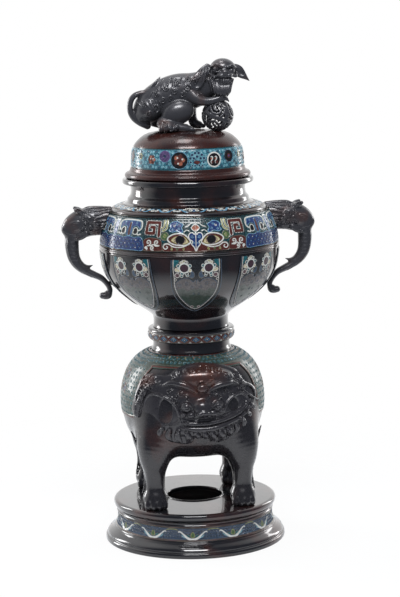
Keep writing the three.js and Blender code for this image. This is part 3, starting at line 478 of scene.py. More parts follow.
class Clay:
    """A casting's pattern: a distance field on a grid, modelled with masses, limbs and grooves."""

    FAR = 40.0

    def __init__(self, low: Station, high: Station, step: float) -> None:
        """Lays out the grid.

        Args:
            low: The lowest corner.
            high: The highest corner.
            step: The grid's spacing.
        """
        self.step = step
        self.axes = [np.arange(a, b + step, step, dtype=np.float32) for a, b in zip(low, high)]
        self.field = np.full([len(axis) for axis in self.axes], self.FAR, np.float32)

    def window(self, low: Array, high: Array) -> tuple[tuple[slice, ...], list[Array]]:
        """The part of the grid between two corners.

        Args:
            low: The lowest corner.
            high: The highest corner.

        Returns:
            The slices of the field, and the X, Y and Z of its points.
        """
        slices = tuple(slice(*np.clip(np.searchsorted(axis, (a, b)), 0, len(axis)))
            for axis, a, b in zip(self.axes, low, high))
        return slices, list(np.meshgrid(*(axis[s] for axis, s in zip(self.axes, slices)), indexing="ij", sparse=True))

    def pebble(self, middle: Station, radii: Station, turn: Station = (0, 0, 0), soft: float = 2.0,
            carve: bool = False) -> None:
        """Adds or carves an ellipsoid.

        Args:
            middle: Its middle.
            radii: Its three radii.
            turn: Its turn about X, Y and Z in degrees.
            soft: The fillet where it meets the rest.
            carve: Whether it is taken away.
        """
        reach = max(radii) + soft + 2 * self.step
        middle = np.array(middle, float)
        slices, (x, y, z) = self.window(middle - reach, middle + reach)
        rows = np.array(Euler([radians(a) for a in turn]).to_matrix().transposed())
        p = [row[0] * (x - middle[0]) + row[1] * (y - middle[1]) + row[2] * (z - middle[2]) for row in rows]
        inner = np.sqrt(sum((a / r) ** 2 for a, r in zip(p, radii)))
        outer = np.sqrt(sum((a / r**2) ** 2 for a, r in zip(p, radii)))
        self._apply(slices, inner * (inner - 1) / np.maximum(outer, 1e-6), soft, carve)

    def limb(self, stations: Rows, side: Station = (0, 1, 0), soft: float = 2.0, steps: int = 5,
            carve: bool = False) -> None:
        """Adds or carves a limb through stations of [x, y, z, half width] or [x, y, z, half width, half height].

        Args:
            stations: The stations; the half width lies along the side direction.
            side: The side direction.
            soft: The fillet where it meets the rest.
            steps: Straight lengths from one station to the next.
            carve: Whether it is taken away.
        """
        path = smooth_path([(*s, s[3]) if len(s) == 4 else s for s in stations], steps)
        path[:, 3:] = np.maximum(path[:, 3:], 0.15)
        reach = path[:, 3:].max() + soft + 2 * self.step
        slices, (x, y, z) = self.window(path[:, :3].min(0) - reach, path[:, :3].max(0) + reach)
        shape = self.field[slices].shape
        if 0 in shape:
            return
        distance = np.full(shape, self.FAR, np.float32)
        low = [s.start for s in slices]
        for a, b in zip(path, path[1:]):
            inner, (x, y, z) = self.window(np.minimum(a, b)[:3] - reach, np.maximum(a, b)[:3] + reach)
            local = tuple(slice(s.start - o, s.stop - o) for s, o in zip(inner, low))
            along = b[:3] - a[:3]
            length = max(float(np.linalg.norm(along)), 1e-6)
            px, py, pz = x - a[0], y - a[1], z - a[2]
            t = np.clip((px * along[0] + py * along[1] + pz * along[2]) / length**2, 0, 1)
            qx, qy, qz = px - along[0] * t, py - along[1] * t, pz - along[2] * t
            wide, tall = a[3] + (b[3] - a[3]) * t, a[4] + (b[4] - a[4]) * t
            square = qx**2 + qy**2 + qz**2
            if np.allclose(path[:, 3], path[:, 4]):
                found = np.sqrt(square) - wide
            else:
                forward = along / length
                across = np.array(side, float) - np.dot(side, forward) * forward
                across /= max(np.linalg.norm(across), 1e-6)
                lateral = (qx * across[0] + qy * across[1] + qz * across[2]) ** 2
                least = np.minimum(wide, tall)
                found = (np.sqrt(lateral / wide**2 + np.maximum(square - lateral, 0) / tall**2) - 1) * least
            distance[local] = np.minimum(distance[local], found)
        self._apply(slices, distance, soft, carve)

    def _apply(self, slices: tuple[slice, ...], distance: Array, soft: float, carve: bool) -> None:
        """Melts a distance into a part of the field, or carves it out of it."""
        held = self.field[slices]
        self.field[slices] = -melt(-held, distance, soft) if carve else melt(held, distance, soft)

    def turned(self, outline: Array) -> Array:
        """The whole grid's distance to an outline turned round the axis.

        Args:
            outline: The closed outline's [radius, level] points.

        Returns:
            The distance field.
        """
        x, y, z = self.axes
        reach = np.hypot(x[:, None], y[None, :])
        radii = np.arange(0, reach.max() + 2 * self.step, self.step)
        table = outline_distance(outline, radii[:, None], z[None, :]).astype(np.float32)
        place = reach / self.step
        index = place.astype(int)
        share = (place - index)[..., None].astype(np.float32)
        return table[index] * (1 - share) + table[index + 1] * share

    def fill(self, distance: Array, soft: float = 0.0) -> None:
        """Adds a whole-grid distance."""
        self.field = melt(self.field, distance, soft)

    def clear(self, distance: Array) -> None:
        """Takes a whole-grid distance away, leaving a crisp edge."""
        self.field = np.maximum(self.field, -distance)

    def face(self, across: Array, level: Array, back: bool = False) -> Array:
        """Where lines along Y first meet the surface.

        Args:
            across: The lines' X.
            level: Their Z.
            back: Whether they come from +Y instead of -Y.

        Returns:
            The Y of each meeting, or nan.
        """
        x, y, z = self.axes
        i = np.clip(np.round((np.asarray(across) - x[0]) / self.step).astype(int), 0, len(x) - 1)
        k = np.clip(np.round((np.asarray(level) - z[0]) / self.step).astype(int), 0, len(z) - 1)
        columns = self.field[i, :, k]
        if back:
            columns, y = columns[:, ::-1], y[::-1]
        solid = columns <= 0
        first = np.clip(solid.argmax(1), 1, None)
        rows = np.arange(len(columns))
        outer, inner = columns[rows, first - 1], columns[rows, first]
        found = y[first - 1] + (y[first] - y[first - 1]) * outer / np.maximum(outer - inner, 1e-6)
        return np.where(solid.any(1), found, np.nan)

    def draw(self, stations: Rows, lift: float = 0.3, soft: float = 0.8, back: bool = False, steps: int = 6,
            carve: bool = False) -> None:
        """Lays a raised or carved line over the surface as seen from the front or the back.

        Args:
            stations: Rows of [x, z, half width] or [x, z, half width, extra lift].
            lift: How far its middle stands out, as a share of the half width.
            soft: The fillet at its foot.
            back: Whether it is laid on the back.
            steps: Points from one station to the next.
            carve: Whether it is a groove.
        """
        path = smooth_path([(*s, 0) if len(s) == 3 else s for s in stations], steps)
        y = self.face(path[:, 0], path[:, 1], back)
        good = ~np.isnan(y)
        if good.sum() < 2:
            return
        outward = 1.0 if back else -1.0
        push = (lift * path[good, 2] + path[good, 3]) * outward
        rows = np.column_stack([path[good, 0], y[good] + push, path[good, 1], path[good, 2]])
        self.limb(rows[:: 2 if len(rows) > 12 else 1], soft=soft, steps=2, carve=carve)

    def curl(self, across: float, level: float, size: float, turns: float = 1.4, start: float = 0.0, hand: int = 1,
            girth: float = 0.2, back: bool = False, lift: float = 0.2) -> None:
        """Lays a snail curl over the surface.

        Args:
            across: Its middle's X.
            level: Its middle's Z.
            size: Its outer radius.
            turns: How often it winds.
            start: The angle of its outer end in degrees.
            hand: 1 or -1, the way it winds.
            girth: Its thickness as a share of the size.
            back: Whether it is laid on the back.
            lift: How far it stands out, as a share of its thickness.
        """
        t = np.linspace(0, 1, max(6, int(turns * 9)))
        angle = radians(start) + hand * t * turns * 2 * pi
        radius = size * (1 - 0.82 * t)
        girths = size * girth * (1 - 0.35 * t)
        rows = np.column_stack([across + radius * np.cos(angle), level + radius * np.sin(angle), girths])
        self.draw(rows, lift, 0.4, back, 1)
        self.draw([(across - 0.1, level, size * girth), (across + 0.1, level, size * girth)], 0.6, 0.3, back, 1)

    def surface(self) -> Surface:
        """Meshes the casting.

        Returns:
            Its surface in quads.
        """
        edge = 3 * self.step
        block = np.pad(np.clip(self.field, -edge, edge), 1, constant_values=edge)
        grid = openvdb.FloatGrid(background=float(edge))
        grid.copyFromArray(np.ascontiguousarray(block, np.float32))
        points, triangles, quads = grid.convertToPolygons(isovalue=0, adaptivity=0)
        origin = np.array([axis[0] for axis in self.axes]) - self.step
        faces = quads[:, ::-1].tolist() + triangles[:, ::-1].tolist()
        return Surface(points * self.step + origin, faces)


# Turned work


@dataclass
class TurnedPart:
    """One turned ring: its name, its outline and its finish."""

    node: str
    outline: Rows
    finish: Finish = TURNED
    corner: float = 0.8
    body: Body = Body.BURNER

    def make(self) -> None:
        """Turns the ring and publishes it in place of its CAD node."""
        surface = revolve(soften(self.outline, self.corner))
        publish(f"{self.node}_turned", surface, self.body, [self.node], [self.finish])


def inset(profile: Rows, depth: float) -> Array:
    """Moves an upward [radius, level] profile inwards, square to itself.

    Args:
        profile: The profile's points.
        depth: How far it moves; outwards below zero.

    Returns:
        The moved points.
    """
    points = np.array(profile, float)
    along = np.gradient(points, axis=0)
    along /= np.linalg.norm(along, axis=1)[:, None]
    return points + depth * np.column_stack([-along[:, 1], along[:, 0]])


@dataclass
class Profiles:
    """The faces that the enamel lies in, as upward [radius, level] points."""

    plinth_band: Rows = ((116.2, 21.6), (114, 28), (113.2, 34), (113.6, 41.4))
    ring_band: Rows = ((60.6, 295.8), (62.2, 298.6), (62.8, 301.6), (62.4, 304.6), (61.6, 306.6))
    lower_bowl: Rows = ((56.6, 331.2), (62.2, 336), (71.8, 342.6), (81.4, 349.2), (91.6, 357.3), (102.4, 366.6),
        (111.6, 376.4), (119.4, 388), (124.2, 399.6), (127, 412), (128.2, 421.6), (128.5, 428))
    mask_band: Rows = ((128.5, 434.6), (128.3, 440), (127.4, 447), (125.6, 455.5), (122.8, 464.5), (119, 473),
        (115.4, 479.2), (112.9, 483.2))
    scroll_band: Rows = ((109, 486.9), (104.6, 489), (99.4, 490.8), (93.8, 492.1))
    lid_band: Rows = ((81.2, 544), (80.9, 550), (80.5, 557), (79.9, 563.5), (78.7, 569), (76.7, 573.6))
    crown: Rows = ((75.9, 575), (74.2, 577.8), (71, 581.4), (66.4, 585.6), (61.5, 588.9), (55.5, 591.4), (45, 593.6),
        (28, 595.2), (9, 595.8))
    globe: Rows = ((30, 126.2), (50, 128.2), (68, 133), (80, 141), (90, 153.5), (97, 168), (101.2, 183), (103.2, 197),
        (103.5, 209), (102.4, 222.5), (99.7, 235), (95.6, 246.5), (90.2, 256.5), (83.2, 264.8), (75.6, 271),
        (68, 275.2), (60, 277.6))


PROFILES = Profiles()
BED = 1.3  # the depth of an enamel bed


def bed(profile: Rows, depth: float = BED) -> list[Station]:
    """An enamel bed with its two lips, as points of a turned outline."""
    points = inset(smooth_path(profile, 3), depth)
    return [tuple(profile[0]), *map(tuple, points), tuple(profile[-1])]


@dataclass
class Plinth:
    """The round plinth: its skirt with the enamelled waist, and the plate under the paws."""

    inner_radius: float = 109.3

    def build(self) -> None:
        """Turns the skirt and the plate."""
        inner = self.inner_radius
        skirt = [(131, 0), (131.5, 1), (131.5, 4.6), (130.6, 6.6), (128.9, 7.4), (128.4, 8.3), (128.8, 9.4),
            (128.5, 10.8), (127.1, 12.6), (124.8, 14.4), (122, 16.2), (119.8, 17.8), (118.6, 19.2), (117.4, 19.9),
            (117.1, 21), *bed(PROFILES.plinth_band), (114.7, 42.1), (114.5, 43.4), (113.4, 44.6), (113.4, 46.4),
            (114.8, 47.7), (inner, 47.7), (inner, 21.5), (127.5, 0)]
        plate = [(112.5, 48), (114.2, 48.2), (116.6, 49.8), (118.1, 52.2), (118.5, 55), (118.1, 57.6), (116.4, 59.3),
            (113.7, 60), (44.6, 60), (43.5, 60.3), (42.7, 61.3), (41.6, 61.6), (40.5, 61.1), (40, 60), (40, 55),
            (inner, 55), (inner, 48)]
        TurnedPart("plinth_skirt", skirt, TURNED_WARM).make()
        TurnedPart("plinth_plate", plate, TURNED_WARM).make()


@dataclass
class NeckRings:
    """The collar and the enamelled ring between the stand and the bowl."""

    def build(self) -> None:
        """Turns the collar and the ring."""
        collar = [(57.9, 278.3), (57.9, 281), (57, 282.6), (55.9, 284.6), (55.5, 287), (55.5, 294), (50.5, 294),
            (50.5, 278.3)]
        ring = [(56.2, 294.3), (59.6, 294.5), (60.4, 295.4), *bed(PROFILES.ring_band), (62, 307), (62.6, 308.4),
            (62.2, 310.2), (60.6, 311.6), (58, 312), (45, 312), (45, 294.3)]
        TurnedPart("stand_collar", collar, TURNED_WARM).make()
        TurnedPart("collar_ring", ring).make()


@dataclass
class Bowl:
    """The bowl's two shells, the bead over their joint, and the rim of the mouth."""

    wall: float = 3.5

    def build(self) -> None:
        """Turns the bowl's metal."""
        outer = smooth_path(PROFILES.lower_bowl, 3)
        lining = inset(outer, self.wall)[::-1]
        lower = [(54.9, 312.3), (55.2, 313.6), (54.5, 315), (54.1, 319), (54.1, 324), (54.7, 327.6), (55.6, 329.8),
            *map(tuple, outer), *map(tuple, lining[:-2]), (54.3, 332.8), (4.3, 332.8), (4.3, 329.3), (49.3, 329.3),
            (49.3, 312.3)]
        bead = [(128.6, 428.3), (129.4, 428.8), (129.8, 429.7), (129.5, 430.7), (129, 431.3), (129.5, 431.9),
            (129.8, 432.9), (129.4, 433.8), (128.6, 434.3), (125.1, 434.3), (125.1, 428.3)]
        shoulder = [(127.2, 434.6), *bed(PROFILES.mask_band)[1:], (112.9, 484), (111.8, 485.6), (110.4, 486.6),
            *bed(PROFILES.scroll_band), (92.6, 492.8), (89.4, 494), (87.7, 495.6), (87.3, 498), (86.7, 500.4),
            (84.8, 502.4), (83.1, 504.6), (82.3, 507.6), (82, 512), (82.4, 516), (83.4, 519.3), (76, 519.3),
            (77.2, 489.5), (104, 481.6), (117, 466), (123.8, 434.6)]
        rim = [(84.5, 519.6), (92, 520.1), (93.7, 521.4), (94, 523.6), (93.9, 526), (93, 527.6), (91.5, 528.2),
            (76, 528.2), (76, 519.6)]
        TurnedPart("bowl_lower", lower, corner=0.5).make()
        TurnedPart("waist_bead", bead, TURNED_WARM, 0.4).make()
        TurnedPart("bowl_shoulder", shoulder, TURNED_WARM, 0.5).make()
        TurnedPart("mouth_rim", rim).make()


@dataclass
class Lid:
    """The domed lid and the ring that locates it in the mouth."""

    def build(self) -> None:
        """Turns the lid's metal."""
        shell = [(84, 528.5), (87.6, 528.8), (89.6, 530.1), (90.3, 532.2), (89.8, 534.3), (88.2, 536), (85.4, 537.2),
            (83.3, 538.4), (82.4, 540.4), (82, 542.6), *bed(PROFILES.lid_band), *PROFILES.crown, (9, 592.4),
            (28, 591.6), (52, 587.4), (63, 581.2), (70.5, 572), (75.2, 560), (76, 550), (72.8, 543.8), (72.8, 528.5)]
        ring = [(75.4, 519.5), (75.4, 528.2), (72.5, 528.2), (72.5, 536.5), (69.9, 536.5), (69.9, 519.5)]
        TurnedPart("lid_shell", shell, CROWN, 0.6, Body.LID).make()
        TurnedPart("lid_ring", ring, TURNED, 0.6, Body.LID).make()


# Castings


@dataclass
class Stand:
    """The round beast: its body on four legs; the mask on its front is modelled apart."""

    step: float = 1.25
    leg_reach: float = 63.0
    sole: float = 60.3  # the paws' level, a hair over the plinth's plate

    def globe_outline(self) -> Array:
        """The closed outline of the turned body."""
        face = smooth_path(PROFILES.globe, 3)
        return np.vstack([[0, 126], face, [57.8, 278], [0, 278]])

    def leg(self, clay: Clay, side: int, end: int) -> None:
        """Models one leg with its paw.

        Args:
            clay: The clay to add it to.
            side: -1 for the left, 1 for the right.
            end: -1 for the front, 1 for the back.
        """
        reach = self.leg_reach
        shaft = [(0.72, 196, 38), (0.9, 160, 31), (0.985, 136, 23), (1, 117, 16.5), (1, 101, 14), (1, 88, 13.8),
            (1, 77, 15.6)]
        clay.limb([(side * reach * out, end * reach * out, z, r) for out, z, r in shaft], soft=13)
        x, y = side * reach, end * reach - 1.0
        clay.pebble((x, y, 73.5), (18.2, 18.8, 14.6), soft=5)
        for at, out in ((-0.78, 0.66), (-0.28, 0.96), (0.28, 0.96), (0.78, 0.66)):
            toe = (x + at * 15, y - out * 14.5, 66.4)
            clay.pebble(toe, (5.4, 6.6, 8.4), (-24, 0, 0), 2.2)
            clay.pebble((toe[0], toe[1] - 4.6, 62), (1.7, 2.4, 2.6), soft=1)

    def fringe(self, clay: Clay, side: int, end: int) -> None:
        """Models the thin fringe down the outer edge of a leg, from a tuft at the elbow.

        Args:
            clay: The clay to add it to.
            side: -1 for the left, 1 for the right.
            end: -1 for the front, 1 for the back.
        """
        edge = [(95.5, 41, 170.5, 0.5), (92.2, 44.5, 164, 1.5), (87.6, 50, 152, 1.7), (82.2, 56.4, 136, 1.6),
            (78.8, 59.8, 118, 1.5), (77.6, 60.6, 101, 1.4), (79.2, 60, 88, 1.4), (81.4, 57, 80, 0.9)]
        clay.limb([(side * x, end * y, z, r) for x, y, z, r in edge], soft=1.4)

    def build(self) -> None:
        """Models the body and publishes it."""
        clay = Clay((-112, -112, 59), (112, 112, 280), self.step)
        clay.fill(clay.turned(self.globe_outline()))
        for model in (self.leg, self.fringe):
            for side in (-1, 1):
                for end in (-1, 1):
                    model(clay, side, end)
        clay.field = np.maximum(clay.field, (self.sole - clay.axes[2])[None, None, :])
        publish("stand_body_cast", clay.surface(), Body.BURNER, ["stand_body"], [STAND])


@dataclass
class StandMask:
    """The beast's mask on the front of the stand, looking a little to its left."""

    step: float = 0.75
    thickness: float = 2.4
    outline: Rows = ((-20, 157), (-12, 160), (-7, 169), (0, 172), (8, 168), (16, 161), (27, 158), (36, 160),
        (42, 166), (51, 166), (58, 174), (67, 182), (73, 192), (79, 199), (83, 210), (86, 222), (80, 234), (68, 241),
        (60, 252), (54, 260), (40, 266), (22, 270), (2, 272), (-16, 270), (-30, 265), (-42, 257), (-56, 257),
        (-68, 256), (-77, 250), (-83, 240), (-89, 224), (-93, 205), (-91, 193), (-82, 193), (-75, 187), (-67, 180),
        (-58, 168), (-49, 163), (-36, 159))
    brows: Lines = (((-51, 242, 1.2), (-41, 246, 3.6), (-28, 245.5, 4.6), (-16, 241.5, 4.2), (-5, 234, 2.2)),
        ((57, 239, 1.2), (46, 243.5, 3.4), (33, 243.5, 4.4), (21, 240, 4), (11, 234, 2.2)))
    scalp_curls: Rows = ((-36, 255, 3.6), (-28, 259.5, 3.6), (-19, 262, 3.4), (-9, 264, 3.4), (1, 265, 3.4),
        (11, 264.6, 3.4), (21, 263, 3.4), (30, 260.6, 3.6), (39, 256.6, 3.6), (47, 252, 3.6))
    brow_curls: Rows = ((-42, 233.5, 4.6), (-34, 228, 4.8), (-26.5, 232, 4.4), (-19, 226.5, 4.8), (-33, 220.5, 4),
        (14, 228.5, 4.4), (21.5, 232.5, 4.4), (29, 228.5, 4.4), (36.5, 232, 4.6), (44, 229, 4), (31, 221, 3.6),
        (-41, 224, 3.6))
    temple_curls: Rows = ((-72, 246.5, 5.4), (-63, 251.5, 4.2), (-77, 237, 5), (-66, 240, 4.6), (-82.5, 227, 4.4),
        (-57, 246, 4), (54, 252.5, 4.4), (52, 243.5, 4.2), (61, 244, 4.6), (64, 235, 3.8), (-85, 217, 3.8))
    ears: Lines = (((-77, 214), (-74, 223), (-68, 229), (-60, 230), (-51, 227), (-42, 222), (-35, 215), (-31, 206),
        (-30, 196), (-35, 189), (-48, 187)), ((34, 203), (36, 212), (43, 221), (54, 227), (64, 226), (70, 219),
        (68, 211)))
    lips: Lines = (((-26, 190.6, 1.6), (-14, 189.2, 3.2), (0, 188.8, 3.5), (14, 189.3, 3.5), (29, 191.6, 3.4),
        (44, 195.6, 3.2), (57, 200.4, 2.8), (68, 208.6, 2), (75, 217, 1)), ((-28, 183.4, 1.6), (-14, 181.6, 3.4),
        (0, 180.9, 3.9), (14, 181.4, 3.9), (29, 183.9, 3.7), (44, 188, 3.4), (57, 192.4, 3), (68, 199.4, 2.2),
        (76, 208, 1)))
    beard: Lines = (((-53, 181, 3.4), (-57, 173, 4.4), (-52, 164.5, 0.8)), ((-43, 179, 3.6), (-45, 170, 4.8),
        (-39, 160, 0.8)), ((-32, 177, 3.6), (-32, 168, 5), (-25, 157.5, 0.8)), ((-20, 176, 3.4), (-17, 168, 4.6),
        (-19, 159.5, 0.8)), ((-8, 176, 3.2), (-4, 171.5, 3.6), (-6, 167, 0.8)), ((4, 176, 3.2), (7, 171, 3.8),
        (4, 166, 0.8)), ((15, 176, 3.4), (18, 168.5, 4.6), (14, 160, 0.8)), ((27, 177, 3.6), (30, 168, 5),
        (26, 158, 0.8)), ((39, 180, 3.6), (42, 171, 4.8), (36, 161, 0.8)), ((50, 185, 3.4), (53, 176, 4.4),
        (48, 167, 0.8)), ((60, 191, 3.2), (63.5, 183, 4.2), (58, 174.5, 0.8)), ((69, 199, 2.8), (73, 191.5, 3.6),
        (69, 183, 0.8)), ((76, 208, 2.4), (80.5, 201, 3), (78, 193, 0.7)))
    whiskers: Lines = (((56, 234, 1.6, 0.4), (62, 237.4, 1.7, 1.2), (70, 237.4, 1.7, 2), (77.5, 232.5, 1.5, 2.4),
        (81.5, 225, 1.3, 2), (82.5, 217.5, 0.6, 1)), ((62, 232, 1.2, 0.4), (71, 224, 1.5, 1.6), (81, 216, 1.4, 3),
        (89, 210, 1.1, 5), (95, 206, 0.4, 7)), ((-78, 246, 1, 0.2), (-82, 236, 1.4, 0.6), (-86, 225.5, 1.4, 0.8),
        (-89, 214, 1.2, 0.6), (-91, 205, 0.6, 0.4)))

    def at(self, across: float, level: float, out: float = 0.0) -> Triple:
        """A place over the stand's face.

        Args:
            across: Its X.
            level: Its Z.
            out: How far it stands out of the body.

        Returns:
            The place.
        """
        face = np.array(PROFILES.globe)
        radius = np.interp(level, face[:, 1], face[:, 0]) + out
        return across, -sqrt(max(radius**2 - across**2, 0)), level

    def masses(self, clay: Clay) -> None:
        """Models the forehead, cheeks, eyes, nose and chin.

        Args:
            clay: The clay to add them to.
        """
        clay.pebble(self.at(7, 250, -7), (43, 16, 15), (-24, 0, 0), 4)
        clay.pebble(self.at(3, 211, -2), (15, 14, 13), soft=4)
        clay.pebble(self.at(4, 206, 9), (8.5, 6, 4.6), soft=2)
        for across, level, radius in ((-2.5, 204.5, 4.2), (11, 205.5, 4.2)):
            clay.pebble(self.at(across, level, 11), (radius, radius, 3.6), soft=1)
        for across in (-20, 24.5):
            clay.pebble(self.at(across, 214.5, 1), (8.4, 8, 7.2), soft=2)
            clay.pebble(self.at(across, 214.5, 4), (5, 6.2, 4.6), soft=0.3)
            clay.draw([(across - 8, 213, 0.9), (across, 219.6, 1.5), (across + 8, 213.5, 0.9)], 0.5, 0.4)
            clay.draw([(across - 7, 212, 0.8), (across, 208.6, 1.2), (across + 7, 212.4, 0.8)], 0.5, 0.4)
        for across, level, radius in ((-13.5, 202.5, 6.2), (-24, 203, 4.6), (17.5, 204, 6.2), (29, 206.5, 4.8)):
            clay.pebble(self.at(across, level, 3), (radius, 6.4, radius * 0.8), soft=1.4)
        clay.pebble(self.at(6, 179, -4), (40, 10, 12), soft=3)
        clay.pebble(self.at(3, 239.5, 6.5), (7.4, 6.6, 7), soft=0.6)

    def dress(self, clay: Clay) -> None:
        """Draws the brows, curls, ears, lips, beard and whiskers over the masses.

        Args:
            clay: The clay to draw on.
        """
        for edge, middle, spread in zip(self.ears, ((-54, 207), (52, 213)), ((20, 19), (15, 9))):
            clay.pebble(self.at(*middle, 4.2), (spread[0], 5.6, spread[1]), soft=3, carve=True)
            clay.draw([(*point, 0.8 + 1.4 * sin(pi * (k + 0.5) / len(edge))) for k, point in enumerate(edge)], 0.5,
                1.2, steps=3)
        clay.draw([(-66, 243, 2.4), (-74, 234, 3.8), (-80.5, 222, 4.6), (-85, 209, 5), (-86.6, 200, 5),
            (-85.4, 196, 3.4)], 0.5, 1)
        clay.draw([(-72, 236, 0.7), (-79, 223, 0.9), (-84, 208, 0.9), (-85.4, 202, 0.5)], 1, 0.3, carve=True)
        for line in self.brows:
            clay.draw(line, 0.35, 1)
        clay.draw([(8, 245, 1.6), (14, 248, 1.4), (19, 252, 1), (17, 256, 0.5)], 0.5)
        clay.draw([(-3, 245, 1.4), (0, 248.5, 1.2), (5, 249.5, 0.5)], 0.5)
        clay.draw([(-29, 199, 1), (-14, 195.2, 1.5), (0, 196.4, 1.6), (14, 196, 1.6), (30, 198, 1.6), (45, 203, 1.5),
            (58, 208, 1.2), (68, 215, 0.8)], 0.1, 0.5, carve=True)
        for line in self.lips:
            clay.draw(line, 0.15, 0.6)
        for k, line in enumerate(self.beard):
            clay.draw(line, 0.25, 0.6)
            clay.draw([(x, z, 0.5) for x, z, _ in line[:2]], 1.2, 0.2, carve=True)
            clay.curl(line[0][0], line[0][1] - 1, 3, 1.1, 90 + 180 * (k % 2), 1 - 2 * (k % 2), 0.24)
        for group, start, lift in ((self.scalp_curls, 250, 0.1), (self.brow_curls, 30, 0.5),
                (self.temple_curls, 120, 0.45)):
            for k, (across, level, size) in enumerate(group):
                clay.curl(across, level, size, 1.35, start + 40 * k, 1 - 2 * (k % 2), 0.26, lift=lift)
        for line in self.whiskers:
            clay.draw(line, 0.5, 0.6)

    def build(self) -> None:
        """Models the mask over the body, cuts the body away from behind it and publishes it."""
        clay = Clay((-100, -132, 152), (104, -30, 276), self.step)
        globe = clay.turned(Stand().globe_outline())
        clay.fill(globe)
        x, _, z = clay.axes
        plate = outline_distance(smooth_path(self.outline, 3, True), x[:, None], z[None, :])[:, None, :]
        clay.fill(-melt(-(globe - self.thickness), -plate.astype(np.float32), 3), 0.8)
        self.masses(clay)
        self.dress(clay)
        clay.clear(globe - HAIR)
        publish("stand_mask_cast", clay.surface(), Body.BURNER, ["stand_mask"], [MASK])


